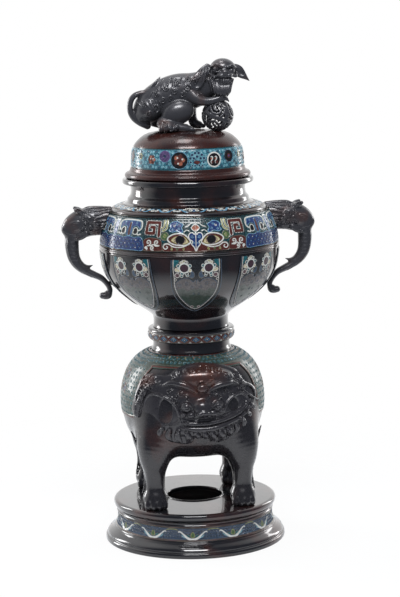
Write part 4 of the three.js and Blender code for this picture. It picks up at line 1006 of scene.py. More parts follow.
@dataclass
class Handle:
    """A beast's head on the bowl's shoulder, with a trunk that curls under to the bowl."""

    step: float = 0.7
    head: Rows = ((106, 0, 468.4, 16, 19), (124, 0, 468.4, 17, 19.4), (140, 0, 468.6, 17.4, 19.6),
        (153, 0, 467.4, 17, 18.8), (164, 0, 463.4, 14.2, 16), (173, 0, 458.5, 9.8, 10.4))
    trunk: Rows = ((164.5, 0, 456, 13, 12), (168.2, 0, 444, 11.6, 10.2), (168.6, 0, 432.5, 10.7, 9.8),
        (167, 0, 419, 9.8, 8.9), (162.4, 0, 409, 9.2, 7.9), (155, 0, 401.2, 8.6, 6.9), (148, 0, 396, 8, 5.5),
        (138.2, 0, 391.1, 7.4, 4.9), (128, 0, 385.8, 6.8, 4.3), (120.6, 0, 378, 6.2, 3.8),
        (116.2, 0, 369.5, 5.8, 3.8), (117.4, 0, 362.4, 5.8, 3.8), (121.6, 0, 358.8, 6, 4),
        (126.8, 0, 360.2, 6.2, 4.8))
    spur: Rows = ((152, 0, 402.6, 5, 3.4), (147, 0, 402.8, 3.6, 2.6), (143, 0, 403.8, 2, 1.4),
        (139.6, 0, 405, 0.6, 0.4))

    def model(self) -> Surface:
        """Models the right handle.

        Returns:
            Its surface.
        """
        clay = Clay((103, -27, 349), (188, 27, 500), self.step)
        clay.limb(self.head, soft=0)
        clay.limb(self.trunk, soft=5)
        clay.limb(self.spur, soft=3)
        clay.limb([(128, 0, 455, 13, 6.4), (140, 0, 453.6, 13, 6), (150, 0, 451.4, 12.6, 5.8),
            (163, 0, 450.4, 11.4, 5.4), (173, 0, 451.5, 9, 4.4), (178, 0, 453.6, 5.4, 2.4)], soft=2.5)
        clay.pebble((119.4, 0, 361.4), (6, 6.4, 6.2), soft=2)
        for side in (-1, 1):
            clay.pebble((178.6, side * 3.4, 458.6), (4.1, 3.8, 4.1), soft=0.8)
            clay.pebble((174.6, side * 5.4, 463.6), (4.4, 3.8, 3.4), soft=1.6)
            clay.limb([(152, side * 9.5, 481, 5.6, 4.2), (158, side * 11.4, 484.6, 5.4, 3.6),
                (162.6, side * 12.4, 486.6, 3.4, 2.6)], (0, 1, 0), 2)
            clay.pebble((157.6, side * 14.6, 485.6), (4.2, 1.6, 2.2), (0, -22, 0), 0.6, True)
            clay.pebble((165.6, side * 12.4, 463.2), (3.3, 3, 3), soft=0.5)
            clay.limb([(155, side * 14.8, 467.4, 1.2), (161, side * 15, 469.6, 2), (168, side * 12.4, 467.8, 1.9),
                (174.5, side * 8.4, 463.6, 1.3)], soft=0.9)
            clay.limb([(158, side * 14.9, 460.4, 0.9), (164, side * 14, 458.6, 1.3), (170.6, side * 10.6, 459, 0.9)],
                soft=0.6)
            clay.limb([(149, side * 14.4, 476.5, 4.2), (142, side * 17.4, 473.4, 4.6), (135, side * 18.4, 467.6, 3.6),
                (130, side * 17.8, 461.6, 1.2)], (1, 0, 0.6), 1.4)
            clay.pebble((141.4, side * 21, 471.6), (5.8, 2.2, 3.2), (0, 34, 0), 0.8, True)
            clay.limb([(148, side * 13.4, 452.4, 4.4, 3.2), (156, side * 12.6, 447.8, 4.4, 3),
                (162.6, side * 11.6, 445.2, 3.4, 2.4)], (1, 0, 0.4), 1.6)
            clay.limb([(112, side * 3, 487.2, 1.4), (128, side * 5.4, 488, 1.6), (143, side * 6.4, 487.8, 1.6),
                (151, side * 7.4, 485.4, 1.2)], soft=1)
        for back in (False, True):
            for k in range(8):
                level = 485.0 - 4.5 * k
                clay.draw([(110, level + 1, 0.9), (121, level + 1.6 * sin(1.3 * k), 1.15), (131, level - 1.4, 1.1),
                    (139 - (k % 3) * 3, level - 1.2 - 0.5 * k, 0.5)], 0.45, 0.5, back)
            for across, level, size in ((141.7, 459.5, 5.4), (153.6, 458.4, 4.2), (161.2, 447.6, 3.4),
                    (149.6, 466.6, 4), (131, 454, 3.6), (144, 484.6, 3.2), (152.4, 474.2, 3.4)):
                clay.curl(across, level, size, 1.3, 40 * size, 1, 0.26, back, 0.4)
            clay.draw([(154, 449.2, 0.7), (164, 449.8, 1), (174, 451.4, 1), (180, 454.6, 0.6)], 0.25, 0.3, back,
                carve=True)
            clay.draw([(174.4, 446, 0.8), (175, 432, 0.9), (171.8, 417, 0.9), (164.6, 405, 0.8), (152, 394, 0.7),
                (136, 384.6, 0.6)], 0.4, 0.5, back)
            for k in range(6):
                clay.draw([(161.8, 442 - 5.5 * k, 0.5), (167, 440.6 - 5.5 * k, 0.7), (171.6, 441 - 5.5 * k, 0.5)],
                    0.12, 0.3, back, 4, True)
        lower = smooth_path(PROFILES.lower_bowl, 3)
        upper = smooth_path(PROFILES.mask_band, 3)
        bowl = np.vstack([[0, 331.2], lower, [130, 428.6], [130, 434.2], upper, [82, 494.2], [0, 494.2]])
        clay.clear(clay.turned(bowl) - 0.5)
        return clay.surface()

    def build(self) -> None:
        """Models one handle and publishes it on both sides."""
        right = self.model()
        left = Surface(right.points * (-1, 1, 1), [face[::-1] for face in right.faces])
        for label, surface in (("right", right), ("left", left)):
            name = f"handle_{label}"
            publish(f"{name}_cast", surface, Body.BURNER, [name], [CAST])


@dataclass
class Lion:
    """The lion on the lid, with its head turned to the front and a paw on the ball."""

    step: float = 0.65
    body: Rows = ((-62, 3, 620, 15, 15), (-50, 3, 630, 20, 23), (-32, 3, 641, 23, 26), (-12, 2, 647.5, 24, 27),
        (8, 0, 650, 23, 25.5), (24, -3, 656, 19, 22), (38, -6, 665, 15, 18))
    limbs: Lines = (((4, -16, 648, 11.5), (12, -22, 640, 9), (22, -25, 636.2, 6.6), (34, -25.6, 636.4, 5.6),
        (45, -24.6, 639.4, 5.8), (50.6, -23.4, 640.4, 4.8)), ((14, 12, 650, 11), (9, 15, 632, 8.4),
        (9.4, 13.6, 614, 6.6), (12, 10, 604, 6.8), (19, 8.4, 601, 5.4)), ((-36, -20, 607, 8.5),
        (-26, -24, 602.6, 7.4), (-14, -26.4, 600, 6.4), (-5, -27, 598.4, 5.8), (1, -26.6, 597.4, 5.2)),
        ((-44, 20, 608, 9), (-30, 25, 602.6, 7.4), (-16, 26.6, 600, 6), (-5, 26.6, 598, 5.2), (2, 26, 597, 4.8)))
    tail: Rows = ((-56, 1, 602, 6, 5), (-67, 0, 607, 5.5, 4.6), (-76, -1, 614.6, 5.4, 4.4),
        (-80.4, -2, 625, 5.2, 4.2), (-79.4, -2, 637, 5.2, 4.2), (-74, -2, 645, 5.2, 4), (-65.4, -2, 648.6, 5.2, 3.8),
        (-56, -2.4, 650.2, 5.4, 3.8), (-47, -3, 657, 5.2, 3.2), (-40, -3.6, 663.6, 4.2, 2.6),
        (-33, -4, 668.6, 1, 0.8))
    curls: Rows = ((0, 655, 5.4), (-8, 646.6, 5), (-18, 651.4, 5), (-13, 661, 4.4), (-45.6, 627.4, 6),
        (-31, 655.6, 4.2), (-55, 619, 4.4), (9, 663, 4.4), (-35, 639, 4.6), (-24, 641.6, 4), (-62, 632, 4),
        (1, 667.6, 4), (17, 647.4, 3.6), (-34.6, 605, 4.6), (-26, 600.6, 4.4), (-18, 603.6, 3.8), (-22, 666, 3.6),
        (-44, 646, 4))

    def hindquarters(self, clay: Clay) -> None:
        """Models the body, haunches and legs.

        Args:
            clay: The clay to add them to.
        """
        clay.limb(self.body, soft=0)
        clay.pebble((-54, -7, 626), (17, 14, 15), soft=5)
        clay.pebble((-14, -19, 620.5), (24, 13.4, 17), (0, -20, 0), 3)
        clay.pebble((-30, -27, 602.5), (13, 9, 8), soft=3)
        for k in range(4):
            clay.pebble((-39.5 + 6.6 * k, -34.6 - 1.4 * (k in (1, 2)), 599.6), (4, 4.4, 4.6), soft=0.9)
        clay.pebble((-30, 19, 618.5), (23, 13, 17), (0, -16, 0), 4)
        clay.pebble((2, -13, 650), (15, 12, 16), soft=5)
        for stations in self.limbs:
            clay.limb(stations, soft=3)
        for x, y, z in ((0, -26.6, 597), (2, 26, 596.4), (19, 8.4, 600)):
            for k in (-1, 0, 1):
                clay.pebble((x + 4.4, y + 3.3 * k, z - 0.2), (4.6, 2.2, 3.2), (0, 14, 0), 0.8)
        for k in (-1, 0, 1):
            clay.pebble((53.6, -23.4 + 3.4 * k, 640.0 - abs(k)), (4.4, 2.1, 2.6), (0, 30, 0), 0.8)
            clay.pebble((57.4, -23.4 + 3.5 * k, 636.8 - abs(k)), (1.9, 0.8, 1), (0, 50, 0), 0.4)
        clay.limb(self.tail, soft=2)
        for tip in ((-41, -8, 668.4), (-26, -4, 670), (-36, 2, 671)):
            clay.limb([(-50, -3, 655, 3.4), ((tip[0] - 50) / 2, tip[1], (tip[2] + 655) / 2 - 1, 2.6), (*tip, 0.5)],
                soft=1.4)

    def head(self, clay: Clay) -> None:
        """Models the head, ears, face and beard.

        Args:
            clay: The clay to add them to.
        """
        clay.pebble((52, -13, 680.5), (18.5, 16.5, 15), (0, 6, 0), 5)
        clay.pebble((45, -15, 660), (16.5, 13, 17), (0, 14, 0), 5)
        clay.pebble((52.6, -27.5, 673.2), (11.5, 8, 6.8), soft=3)
        clay.pebble((52.6, -33.6, 676.2), (4.8, 3.4, 3.2), soft=1)
        for side in (-1, 1):
            clay.pebble((52.6 + 5.2 * side, -32.4, 671.6), (4.8, 3.8, 3.2), soft=1.2)
            clay.pebble((51.4 + 10.8 * side, -27.4, 680.0 - 1.4 * side), (4.2, 3.6, 3.4), soft=0.3)
            clay.limb([(52 + 4 * side, -30.4, 683.4, 1.8), (51.6 + 11 * side, -29.4, 686.2 - side, 2.4),
                (51.6 + 17.4 * side, -23, 683.4 - side, 1.4)], soft=1.2)
            clay.limb([(52 + 6 * side, -31, 678, 0.9), (51.6 + 11 * side, -30.4, 676.2 - side, 1.1),
                (51.6 + 15.6 * side, -26, 678 - side, 0.8)], soft=0.6)
            clay.limb([(52.6 + 9 * side, -31, 671.6, 1.6), (52.6 + 16.5 * side, -24.4, 670.4, 2.2),
                (52.6 + 18.4 * side, -18, 676, 1.4)], soft=1)
        clay.limb([(44, -33, 668, 0.9), (52.6, -35, 667, 1.2), (61, -33, 668, 0.9)], soft=0.5, carve=True)
        clay.limb([(43, -27, 665.4, 3), (52.6, -30, 663.6, 3.2), (61.6, -27, 665.4, 3)], soft=2)
        for k in range(5):
            clay.limb([(39 + 5 * k, -26.5, 659, 3.6), (40.5 + 4.2 * k, -29.4, 650, 3.4),
                (42.5 + 3.2 * k, -29.8, 641.5 + abs(k - 3), 0.8)], soft=1)
        clay.limb([(31, -17, 684, 5.6, 3.6), (24, -21.6, 677.6, 7.4, 3.2), (17, -25, 668.6, 9, 3),
            (11.4, -26, 660, 9, 2.8), (10, -25, 653.8, 5, 2)], (0.85, 0, -0.5), 1.6)
        clay.pebble((12.6, -29.6, 661), (6.8, 3.6, 7.4), (0, 24, 0), 0.6, True)
        clay.limb([(64, -9, 681, 7, 5), (73, -10.4, 677.6, 8.2, 3), (80, -11.4, 671.4, 5.8, 2.4),
            (85, -12, 667, 2.8, 1.4), (89.6, -12.4, 662.8, 0.6, 0.5)], (0.6, 0, 1), 1.6)
        clay.pebble((76, -14.6, 675), (7.5, 3.2, 4.6), (0, 34, 0), 0.8, True)

    def hair(self, clay: Clay) -> None:
        """Draws the beard's strands, the mane's locks and the curls on both sides.

        Args:
            clay: The clay to draw on.
        """
        for k, across in enumerate(np.linspace(30, 64, 11)):
            low = 641.5 + 0.035 * (across - 47) ** 2 + (k % 3)
            lean = (47 - across) * 0.2
            clay.draw([(across, 666, 1.5), (across + lean, 656, 1.7), (across + 1.6 * lean, 648, 1.4),
                (across + 1.9 * lean + (-1) ** k, low, 0.5)], 0.45, 0.6)
        for k, across in enumerate(np.linspace(20, 40, 6)):
            clay.draw([(across, 681 + 0.5 * k, 1), (across - 3, 674 - k, 1.3), (across - 5, 665 - k, 0.6)], 0.4)
        for back in (False, True):
            for k, (across, level, size) in enumerate(self.curls):
                clay.curl(across, level, size, 1.35, 70 * k, 1 - 2 * (k % 2), 0.25, back, 0.5)
            for k in range(9):
                across = -48 + 8.2 * k
                top = float(np.interp(across, [-50, -30, -12, 10, 20], [650, 663, 669, 671, 672]))
                clay.draw([(across, top, 0.8), (across - 3.6, top - 4.5, 1), (across - 5.6, top - 9.5, 0.5)], 0.4,
                    0.5, back)
            for k in range(7):
                clay.draw([(-70 + 5 * k, 640 - abs(k - 3), 0.7), (-68 + 5 * k, 633, 0.9), (-64 + 5 * k, 628, 0.4)],
                    0.4, 0.5, back)
        for k in range(6):
            clay.draw([(25 + 1.5 * k, 684 - 2.0 * k, 0.8), (28 + k, 679 - 2 * k, 1), (26 + k, 670 - 2 * k, 0.5)], 0.4,
                0.5, True)
            clay.draw([(40 + 5 * k, 688 - 0.8 * k, 0.9), (38 + 5 * k, 676, 1.3), (36 + 4.4 * k, 660, 0.6)], 0.4, 0.5,
                True)
        for k in range(6):
            across = 20 + 2.4 * k
            clay.pebble((across, -4 - 0.3 * k, 675.5 + 1.9 * k), (2.4, 3.6, 2.4), soft=1.5)

    def build(self) -> None:
        """Models the lion, cuts it to the lid and the ball, and publishes it."""
        clay = Clay((-90, -41, 588), (92, 39, 700), self.step)
        self.hindquarters(clay)
        self.head(clay)
        self.hair(clay)
        clay.clear(clay.turned(lid_outline()) - HAIR)
        x, y, z = np.meshgrid(*clay.axes, indexing="ij", sparse=True)
        ball = Ball()
        room = np.sqrt((x - ball.middle[0]) ** 2 + (y - ball.middle[1]) ** 2 + (z - ball.middle[2]) ** 2)
        clay.clear(room - ball.radius - HAIR)
        publish("lion_cast", clay.surface(), Body.LID, ["lion"], [CAST])


def lid_outline() -> Array:
    """The lid's crown as a closed outline, to seat what stands on it."""
    return np.array([PROFILES.lid_band[-1], *PROFILES.crown, (0, 595.8), (0, 540), (80, 540)])


@dataclass
class Ball:
    """The openwork ball: crossing ribbons with a curled ribbon in each window, on a low boss."""

    step: float = 0.5
    radius: float = 23.0
    middle: Triple = (42.84, -15.3, 615.4)

    def arc(self, clay: Clay, points: Array, width: float, thickness: float) -> None:
        """Adds a ribbon over the sphere.

        Args:
            clay: The clay to add it to.
            points: Directions from the middle, in order.
            width: Its half width.
            thickness: Its half thickness.
        """
        tilt = np.array(Euler([radians(a) for a in (20, 15, 30)]).to_matrix())
        turned = points / np.linalg.norm(points, axis=1)[:, None] @ tilt.T
        places = turned * (self.radius - thickness - 0.2)
        for a, b, c in zip(places, places[1:], turned):
            side = np.cross(c, b - a)
            ends = [(*(p + self.middle), width, thickness) for p in (a, b)]
            clay.limb(ends, side, 0.5, 1)

    def build(self) -> None:
        """Models the ball and publishes it."""
        reach = self.radius + 4
        low, high = [[m + s * reach for m in self.middle] for s in (-1, 1)]
        clay = Clay(low, high, self.step)
        angle = np.linspace(0, 2 * pi, 33)
        circle = np.column_stack([np.cos(angle), np.sin(angle), 0 * angle])
        for turn in ((0, 1, 2), (0, 2, 1), (2, 0, 1)):
            self.arc(clay, circle[:, turn], 3, 1.4)
        for corner in np.array([(x, y, z) for x in (-1, 1) for y in (-1, 1) for z in (-1, 1)]) / sqrt(3):
            first = np.cross(corner, (0.3, 0.5, 0.8))
            first /= np.linalg.norm(first)
            second = np.cross(corner, first)
            for start in range(3):
                turns = np.linspace(0, 1, 12)[:, None]
                swing = start * 2 * pi / 3 + turns * 3.6
                out = 0.62 - 0.5 * turns
                self.arc(clay, corner + out * (np.cos(swing) * first + np.sin(swing) * second), 1.7, 1.1)
        x, y, z = self.middle
        clay.limb([(x, y, z - self.radius - 4, 6), (x, y, z - self.radius + 2, 5.4)], soft=1, steps=1)
        clay.clear(clay.turned(lid_outline()) - HAIR)
        publish("brocade_ball_cast", clay.surface(), Body.LID, ["brocade_ball"], [CAST])


# Enamel


def inside(points: Array, outline: Array) -> Array:
    """Tells which points lie inside a closed outline.

    Args:
        points: The [u, v] points.
        outline: The outline's points.

    Returns:
        True for each point inside.
    """
    u, v = points[:, 0], points[:, 1]
    within = np.zeros(len(points), bool)
    for (au, av), (bu, bv) in zip(outline, np.roll(outline, -1, 0)):
        if av != bv:
            crosses = (av > v) != (bv > v)
            within ^= crosses & (u < au + (v - av) / (bv - av) * (bu - au))
    return within


@dataclass
class Layer:
    """A cell of enamel inside a closed outline, or a wire along a line of [u, v, half width] rows."""

    tone: Tone
    path: Array
    wire: bool = False

    def reach(self, points: Array) -> Array:
        """How far points lie from the wire's middle.

        Args:
            points: The [u, v] points.

        Returns:
            Their distances, as shares of its half width there.
        """
        nearest = np.full(len(points), 1e9)
        for a, b in zip(self.path, self.path[1:]):
            along = b[:2] - a[:2]
            t = np.clip((points - a[:2]) @ along / max(along @ along, 1e-9), 0, 1)
            apart = np.linalg.norm(points - a[:2] - t[:, None] * along, axis=1)
            nearest = np.minimum(nearest, apart / (a[2] + (b[2] - a[2]) * t))
        return nearest

    def near(self, points: Array) -> Array:
        """Finds the points inside the layer's own box.

        Args:
            points: The [u, v] points.

        Returns:
            Their numbers.
        """
        grow = self.path[:, 2].max() if self.wire else 0.0
        low, high = self.path[:, :2].min(0) - grow, self.path[:, :2].max(0) + grow
        return np.flatnonzero(np.all((points >= low) & (points <= high), axis=1))

    def covered(self, points: Array) -> Array:
        """Finds the points that the layer covers.

        Args:
            points: The [u, v] points.

        Returns:
            Their numbers.
        """
        near = self.near(points)
        hits = self.reach(points[near]) < TOUCH if self.wire else inside(points[near], self.path)
        return near[hits]


def triangulate(points: Rows, edges: list, domain: Array, grain: float, least: float) -> tuple:
    """Fills a domain with triangles between points.

    Args:
        points: The [u, v] points.
        edges: The pairs of points that stay joined.
        domain: The domain's closed outline.
        grain: The distance within which points are one.
        least: The double area above which a triangle is kept.

    Returns:
        The places, their triangles counterclockwise, and the points that each place stands for.
    """
    places, _, faces, sources = delaunay_2d_cdt([Vector(point) for point in points], edges, [], 0, grain)[:4]
    places, faces = np.array([tuple(place) for place in places]), np.array(faces)
    corners = places[faces]
    a, b = corners[:, 1] - corners[:, 0], corners[:, 2] - corners[:, 0]
    area = a[:, 0] * b[:, 1] - a[:, 1] * b[:, 0]
    faces = np.where((area < 0)[:, None], faces[:, ::-1], faces)
    return places, faces[inside(corners.mean(1), domain) & (abs(area) > least)], sources


class Enamel:
    """A flat enamel design over a domain of [u, v] millimetres: cells and wires laid down in order."""

    WIRE_HEIGHT = 0.28

    def __init__(self, domain: Rows, ground: Tone, grid: float = 3.2) -> None:
        """Starts a design.

        Args:
            domain: The closed outline of the panel or of the part that is repeated.
            ground: The tone under everything.
            grid: The spacing of the points that fill open ground.
        """
        corners = np.array(domain, float)
        sides = [resample(np.array([a, b]), grid * 0.6)[:-1] for a, b in zip(corners, np.roll(corners, -1, 0))]
        self.domain = np.vstack(sides)
        self.size = tuple(corners.max(0))
        self.ground = ground
        self.grid = grid
        self.layers: list[Layer] = []

    def wire(self, line: Rows, width: float = 0.4, tone: Tone = WIRE, smooth: bool = True) -> None:
        """Lays a wire.

        Args:
            line: Its middle, as rows of [u, v] or [u, v, half width].
            width: Its half width where the rows have none.
            tone: Its tone.
            smooth: Whether it bends softly through the rows.
        """
        rows = np.array([(*row, width) if len(row) == 2 else row for row in line], float)
        if smooth and len(rows) > 2:
            rows = smooth_path(rows, 5)
        rows = resample(rows, 1.1) if smooth else rows
        rows[:, 2] = np.maximum(rows[:, 2], 0.12)
        self.layers.append(Layer(tone, rows, True))

    def cell(self, outline: Rows, tone: Tone, rim: Tone | None = WIRE, width: float = 0.4,
            smooth: bool = True) -> None:
        """Fills a closed outline, with a wire round it.

        Args:
            outline: The outline's points.
            tone: The enamel in it.
            rim: The tone of the wire, or None for no wire.
            width: The wire's half width.
            smooth: Whether the outline bends softly through its points.
        """
        rows = np.array(outline, float)[:, :2]
        curve = smooth_path(rows, 5, True) if smooth else rows
        around = np.vstack([curve, curve[:1]])
        self.layers.append(Layer(tone, resample(around, 1)[:-1] if smooth else curve))
        if rim:
            self.wire(around, width, rim, smooth=False)

    def strip(self, low: float, high: float, tone: Tone) -> None:
        """Fills a border strip between two heights, with a wire round it."""
        first, last = self.domain[:, 0].min(), self.domain[:, 0].max()
        self.cell([(first, low), (last, low), (last, high), (first, high)], tone, WIRE, 0.3, False)

    def disc(self, u: float, v: float, radius: float, tone: Tone, rim: Tone | None = WIRE,
            width: float = 0.4) -> None:
        """Fills a round cell.

        Args:
            u: Its middle's u.
            v: Its middle's v.
            radius: Its radius.
            tone: The enamel in it.
            rim: The tone of the wire round it, or None for no wire.
            width: The wire's half width.
        """
        count = max(8, int(radius * 5))
        angle = np.linspace(0, 2 * pi, count, endpoint=False)
        self.cell(np.column_stack([u + radius * np.cos(angle), v + radius * np.sin(angle)]), tone, rim, width, False)

    def flower(self, u: float, v: float, radius: float, petals: int, tones: Sequence[Tone], heart: Tone,
            rim: Tone = WHITE) -> None:
        """Lays a round flower.

        Args:
            u: Its middle's u.
            v: Its middle's v.
            radius: Its radius.
            petals: How many petals it has.
            tones: The petals' tones in turn.
            heart: The heart's tone.
            rim: The wires' tone.
        """
        for k in range(petals):
            angle = 2 * pi * k / petals
            place = u + 0.62 * radius * cos(angle), v + 0.62 * radius * sin(angle)
            self.disc(*place, 0.4 * radius, tones[k % len(tones)], rim, 0.3)
        self.disc(u, v, 0.36 * radius, heart, rim, 0.35)

    def scroll(self, u: float, v: float, size: float, start: float = 0.0, hand: int = 1, width: float = 0.4,
            tone: Tone = WIRE, turns: float = 1.3) -> None:
        """Lays a spiral wire.

        Args:
            u: Its middle's u.
            v: Its middle's v.
            size: Its outer radius.
            start: The angle of its outer end in degrees.
            hand: 1 or -1, the way it winds.
            width: Its half width.
            tone: Its tone.
            turns: How often it winds.
        """
        t = np.linspace(0, 1, max(6, int(9 * turns)))
        angle = radians(start) + hand * 2 * pi * turns * t
        radius = size * (1 - 0.84 * t)
        self.wire(np.column_stack([u + radius * np.cos(angle), v + radius * np.sin(angle)]), width, tone, False)

    def keys(self, low: Station, high: Station, pitch: float, width: float, tone: Tone = WIRE) -> None:
        """Covers a box with small square spirals, the thunder pattern.

        Args:
            low: The box's lowest [u, v].
            high: Its highest [u, v].
            pitch: The spirals' spacing.
            width: The wires' half width.
            tone: Their tone.
        """
        shares = np.array([(-0.4, -0.4), (-0.4, 0.4), (0.4, 0.4), (0.4, -0.3), (-0.15, -0.3), (-0.15, 0.12),
            (0.15, 0.12)])
        columns, rows = (max(1, int(round((b - a) / pitch))) for a, b in zip(low, high))
        for i in range(columns):
            for j in range(rows):
                flip = np.array([1 if (i + j) % 2 else -1, 1])
                middle = np.array([low[0] + (i + 0.5) * pitch, low[1] + (j + 0.5) * pitch])
                self.wire(middle + shares * flip * pitch, width, tone, smooth=False)

    def filling(self, low: Station, high: Station, pitch: float, trim: float = 0.0) -> Array:
        """Spreads points over open ground.

        Args:
            low: The lowest [u, v].
            high: The highest [u, v].
            pitch: Their spacing.
            trim: How far they stay off the highest.

        Returns:
            The points inside the domain.
        """
        u, v = np.meshgrid(*(np.arange(a + pitch / 2, b - trim, pitch) for a, b in zip(low, high)))
        points = np.column_stack([u.ravel(), v.ravel()])
        return points[inside(points, self.domain)]

    def visible(self, order: int) -> list[Array]:
        """Cuts a wire to what is seen of it.

        Args:
            order: The wire's number among the layers.

        Returns:
            The runs of it that lie in the domain with no later cell over them.
        """
        path = self.layers[order].path
        low, high = self.domain.min(0) - 0.5, self.domain.max(0) + 0.5
        hidden = np.any((path[:, :2] < low) | (path[:, :2] > high), axis=1)
        for later in self.layers[order + 1 :]:
            if not later.wire:
                hidden[later.covered(path[:, :2])] = True
        runs, run = [], []
        for row, gone in zip(path, hidden):
            if gone:
                runs.append(run)
                run = []
            else:
                run.append(row)
        return [np.array(rows) for rows in [*runs, run] if len(rows) > 1]

    def mesh(self) -> tuple[Array, Array, Array]:
        """Triangulates the design.

        Returns:
            Its points as [u, v, height], its faces, and the tone number of each face.
        """
        low, high = self.domain.min(0), self.domain.max(0)
        paths = [(self.domain, True)]
        for order, layer in enumerate(self.layers):
            if not layer.wire:
                paths.append((layer.path, True))
                continue
            for run in self.visible(order):
                along = np.gradient(run[:, :2], axis=0)
                along /= np.maximum(np.linalg.norm(along, axis=1), 1e-6)[:, None]
                side = np.column_stack([-along[:, 1], along[:, 0]]) * run[:, 2:3]
                paths += [(run[:, :2], False), (run[:, :2] + side, False), (run[:, :2] - side, False)]
        points, edges = [], []
        for path, closed in paths:
            first = len(points)
            points += np.clip(path, low, high).tolist()
            edges += [(first + k, first + k + 1) for k in range(len(path) - 1)]
            if closed:
                edges.append((len(points) - 1, first))
        points += self.filling(low, high, self.grid).tolist()
        places, faces, _ = triangulate(points, edges, self.domain, grain=1e-3, least=1e-7)
        used, faces = np.unique(faces, return_inverse=True)
        places, faces = places[used], faces.reshape(-1, 3)
        middles = places[faces].mean(1)
        height, tones = np.zeros(len(places)), np.full(len(faces), self.number(self.ground))
        for layer in self.layers:
            tones[layer.covered(middles)] = self.number(layer.tone)
            if layer.wire:
                near = layer.near(places)
                rise = 1 - layer.reach(places[near]) ** 2
                crest = min(self.WIRE_HEIGHT, layer.path[:, 2].max())
                height[near] = np.where(rise > 0, rise * crest, height[near])
            else:
                height[layer.covered(places)] = 0.0
        return np.column_stack([places, height]), faces, tones

    def number(self, tone: Tone) -> int:
        """A tone's number among the finishes of every panel."""
        return list(Tone).index(tone)


@dataclass
class Wrap:
    """How a flat design lies on a turned face: u round the axis at a reference radius, v up its profile."""

    profile: Rows
    radius: float
    out: float = 0.0
    thickness: float = 1.0

    def path(self) -> Array:
        """The profile as close points."""
        return smooth_path(self.profile, 6)

    def rises(self) -> Array:
        """How far up the profile each of its points lies."""
        return np.r_[0, np.cumsum(np.linalg.norm(np.diff(self.path(), axis=0), axis=1))]

    def length(self) -> float:
        """The profile's whole length."""
        return float(self.rises()[-1])

    def degrees(self, angle: float) -> float:
        """An angle in degrees as a length along u."""
        return radians(angle) * self.radius

    def at(self, across: float, level: float) -> tuple[float, float]:
        """Finds a place seen square from the front.

        Args:
            across: Its X.
            level: Its level.

        Returns:
            Its [u, v].
        """
        path = self.path()
        radius = float(np.interp(level, path[:, 1], path[:, 0]))
        share = max(-1, min(1, across / radius))
        return asin(share) * self.radius, float(np.interp(level, path[:, 1], self.rises()))

    def flat(self, *rows: Station) -> list[Station]:
        """Rows of [x, level, ...] seen square from the front, as rows of [u, v, ...]."""
        return [(*self.at(row[0], row[1]), *row[2:]) for row in rows]

    def bend(self, flat: Array, turn: float) -> Array:
        """Bends [u, v, height] points round the axis.

        Args:
            flat: The points.
            turn: The angle in degrees of u = 0 from the front, towards +X.

        Returns:
            Their places.
        """
        path, rises = self.path(), self.rises()
        along = np.gradient(path, axis=0)
        along /= np.linalg.norm(along, axis=1)[:, None]
        values = [np.interp(flat[:, 1], rises, column) for column in (*path.T, along[:, 1], -along[:, 0])]
        height = flat[:, 2] + self.out
        radius, level = values[0] + values[2] * height, values[1] + values[3] * height
        angle = flat[:, 0] / self.radius + radians(turn - 90)
        return np.column_stack([radius * np.cos(angle), radius * np.sin(angle), level])


def closed_panel(design: Enamel, thickness: float, seams: Sequence[float]) -> tuple[Array, list, Array]:
    """Gives a flat design a back and edges.

    Args:
        design: The design.
        thickness: The enamel's thickness.
        seams: The u of the edges that meet a neighbour and stay open.

    Returns:
        Its points, its faces and their tone numbers.
    """
    points, faces, tones = design.mesh()
    directed = {(int(a), int(b)) for face in faces for a, b in zip(face, np.roll(face, -1))}
    rims = [(a, b) for a, b in directed if (b, a) not in directed]
    number = {vertex: k for k, vertex in enumerate(sorted({a for edge in rims for a in edge}))}
    border = points[list(number)][:, :2]
    filler = design.filling(border.min(0), border.max(0), pitch=5, trim=1)
    edges = [(number[a], number[b]) for a, b in rims]
    places, back, origins = triangulate(np.vstack([border, filler]), edges, design.domain, grain=1e-6, least=-1)
    back = back[:, ::-1] + len(points)
    partner = {source: index + len(points) for index, sources in enumerate(origins) for source in sources}
    seam = [any(abs(points[a, 0] - s) < 1e-3 and abs(points[b, 0] - s) < 1e-3 for s in seams) for a, b in rims]
    walls = [[b, a, partner[number[a]], partner[number[b]]] for (a, b), open_edge in zip(rims, seam) if not open_edge]
    under = np.column_stack([places, np.full(len(places), -thickness)])
    rest = [*back.tolist(), *walls]
    ground = np.full(len(rest), design.number(design.ground))
    return np.vstack([points, under]), faces.tolist() + rest, np.r_[tones, ground]


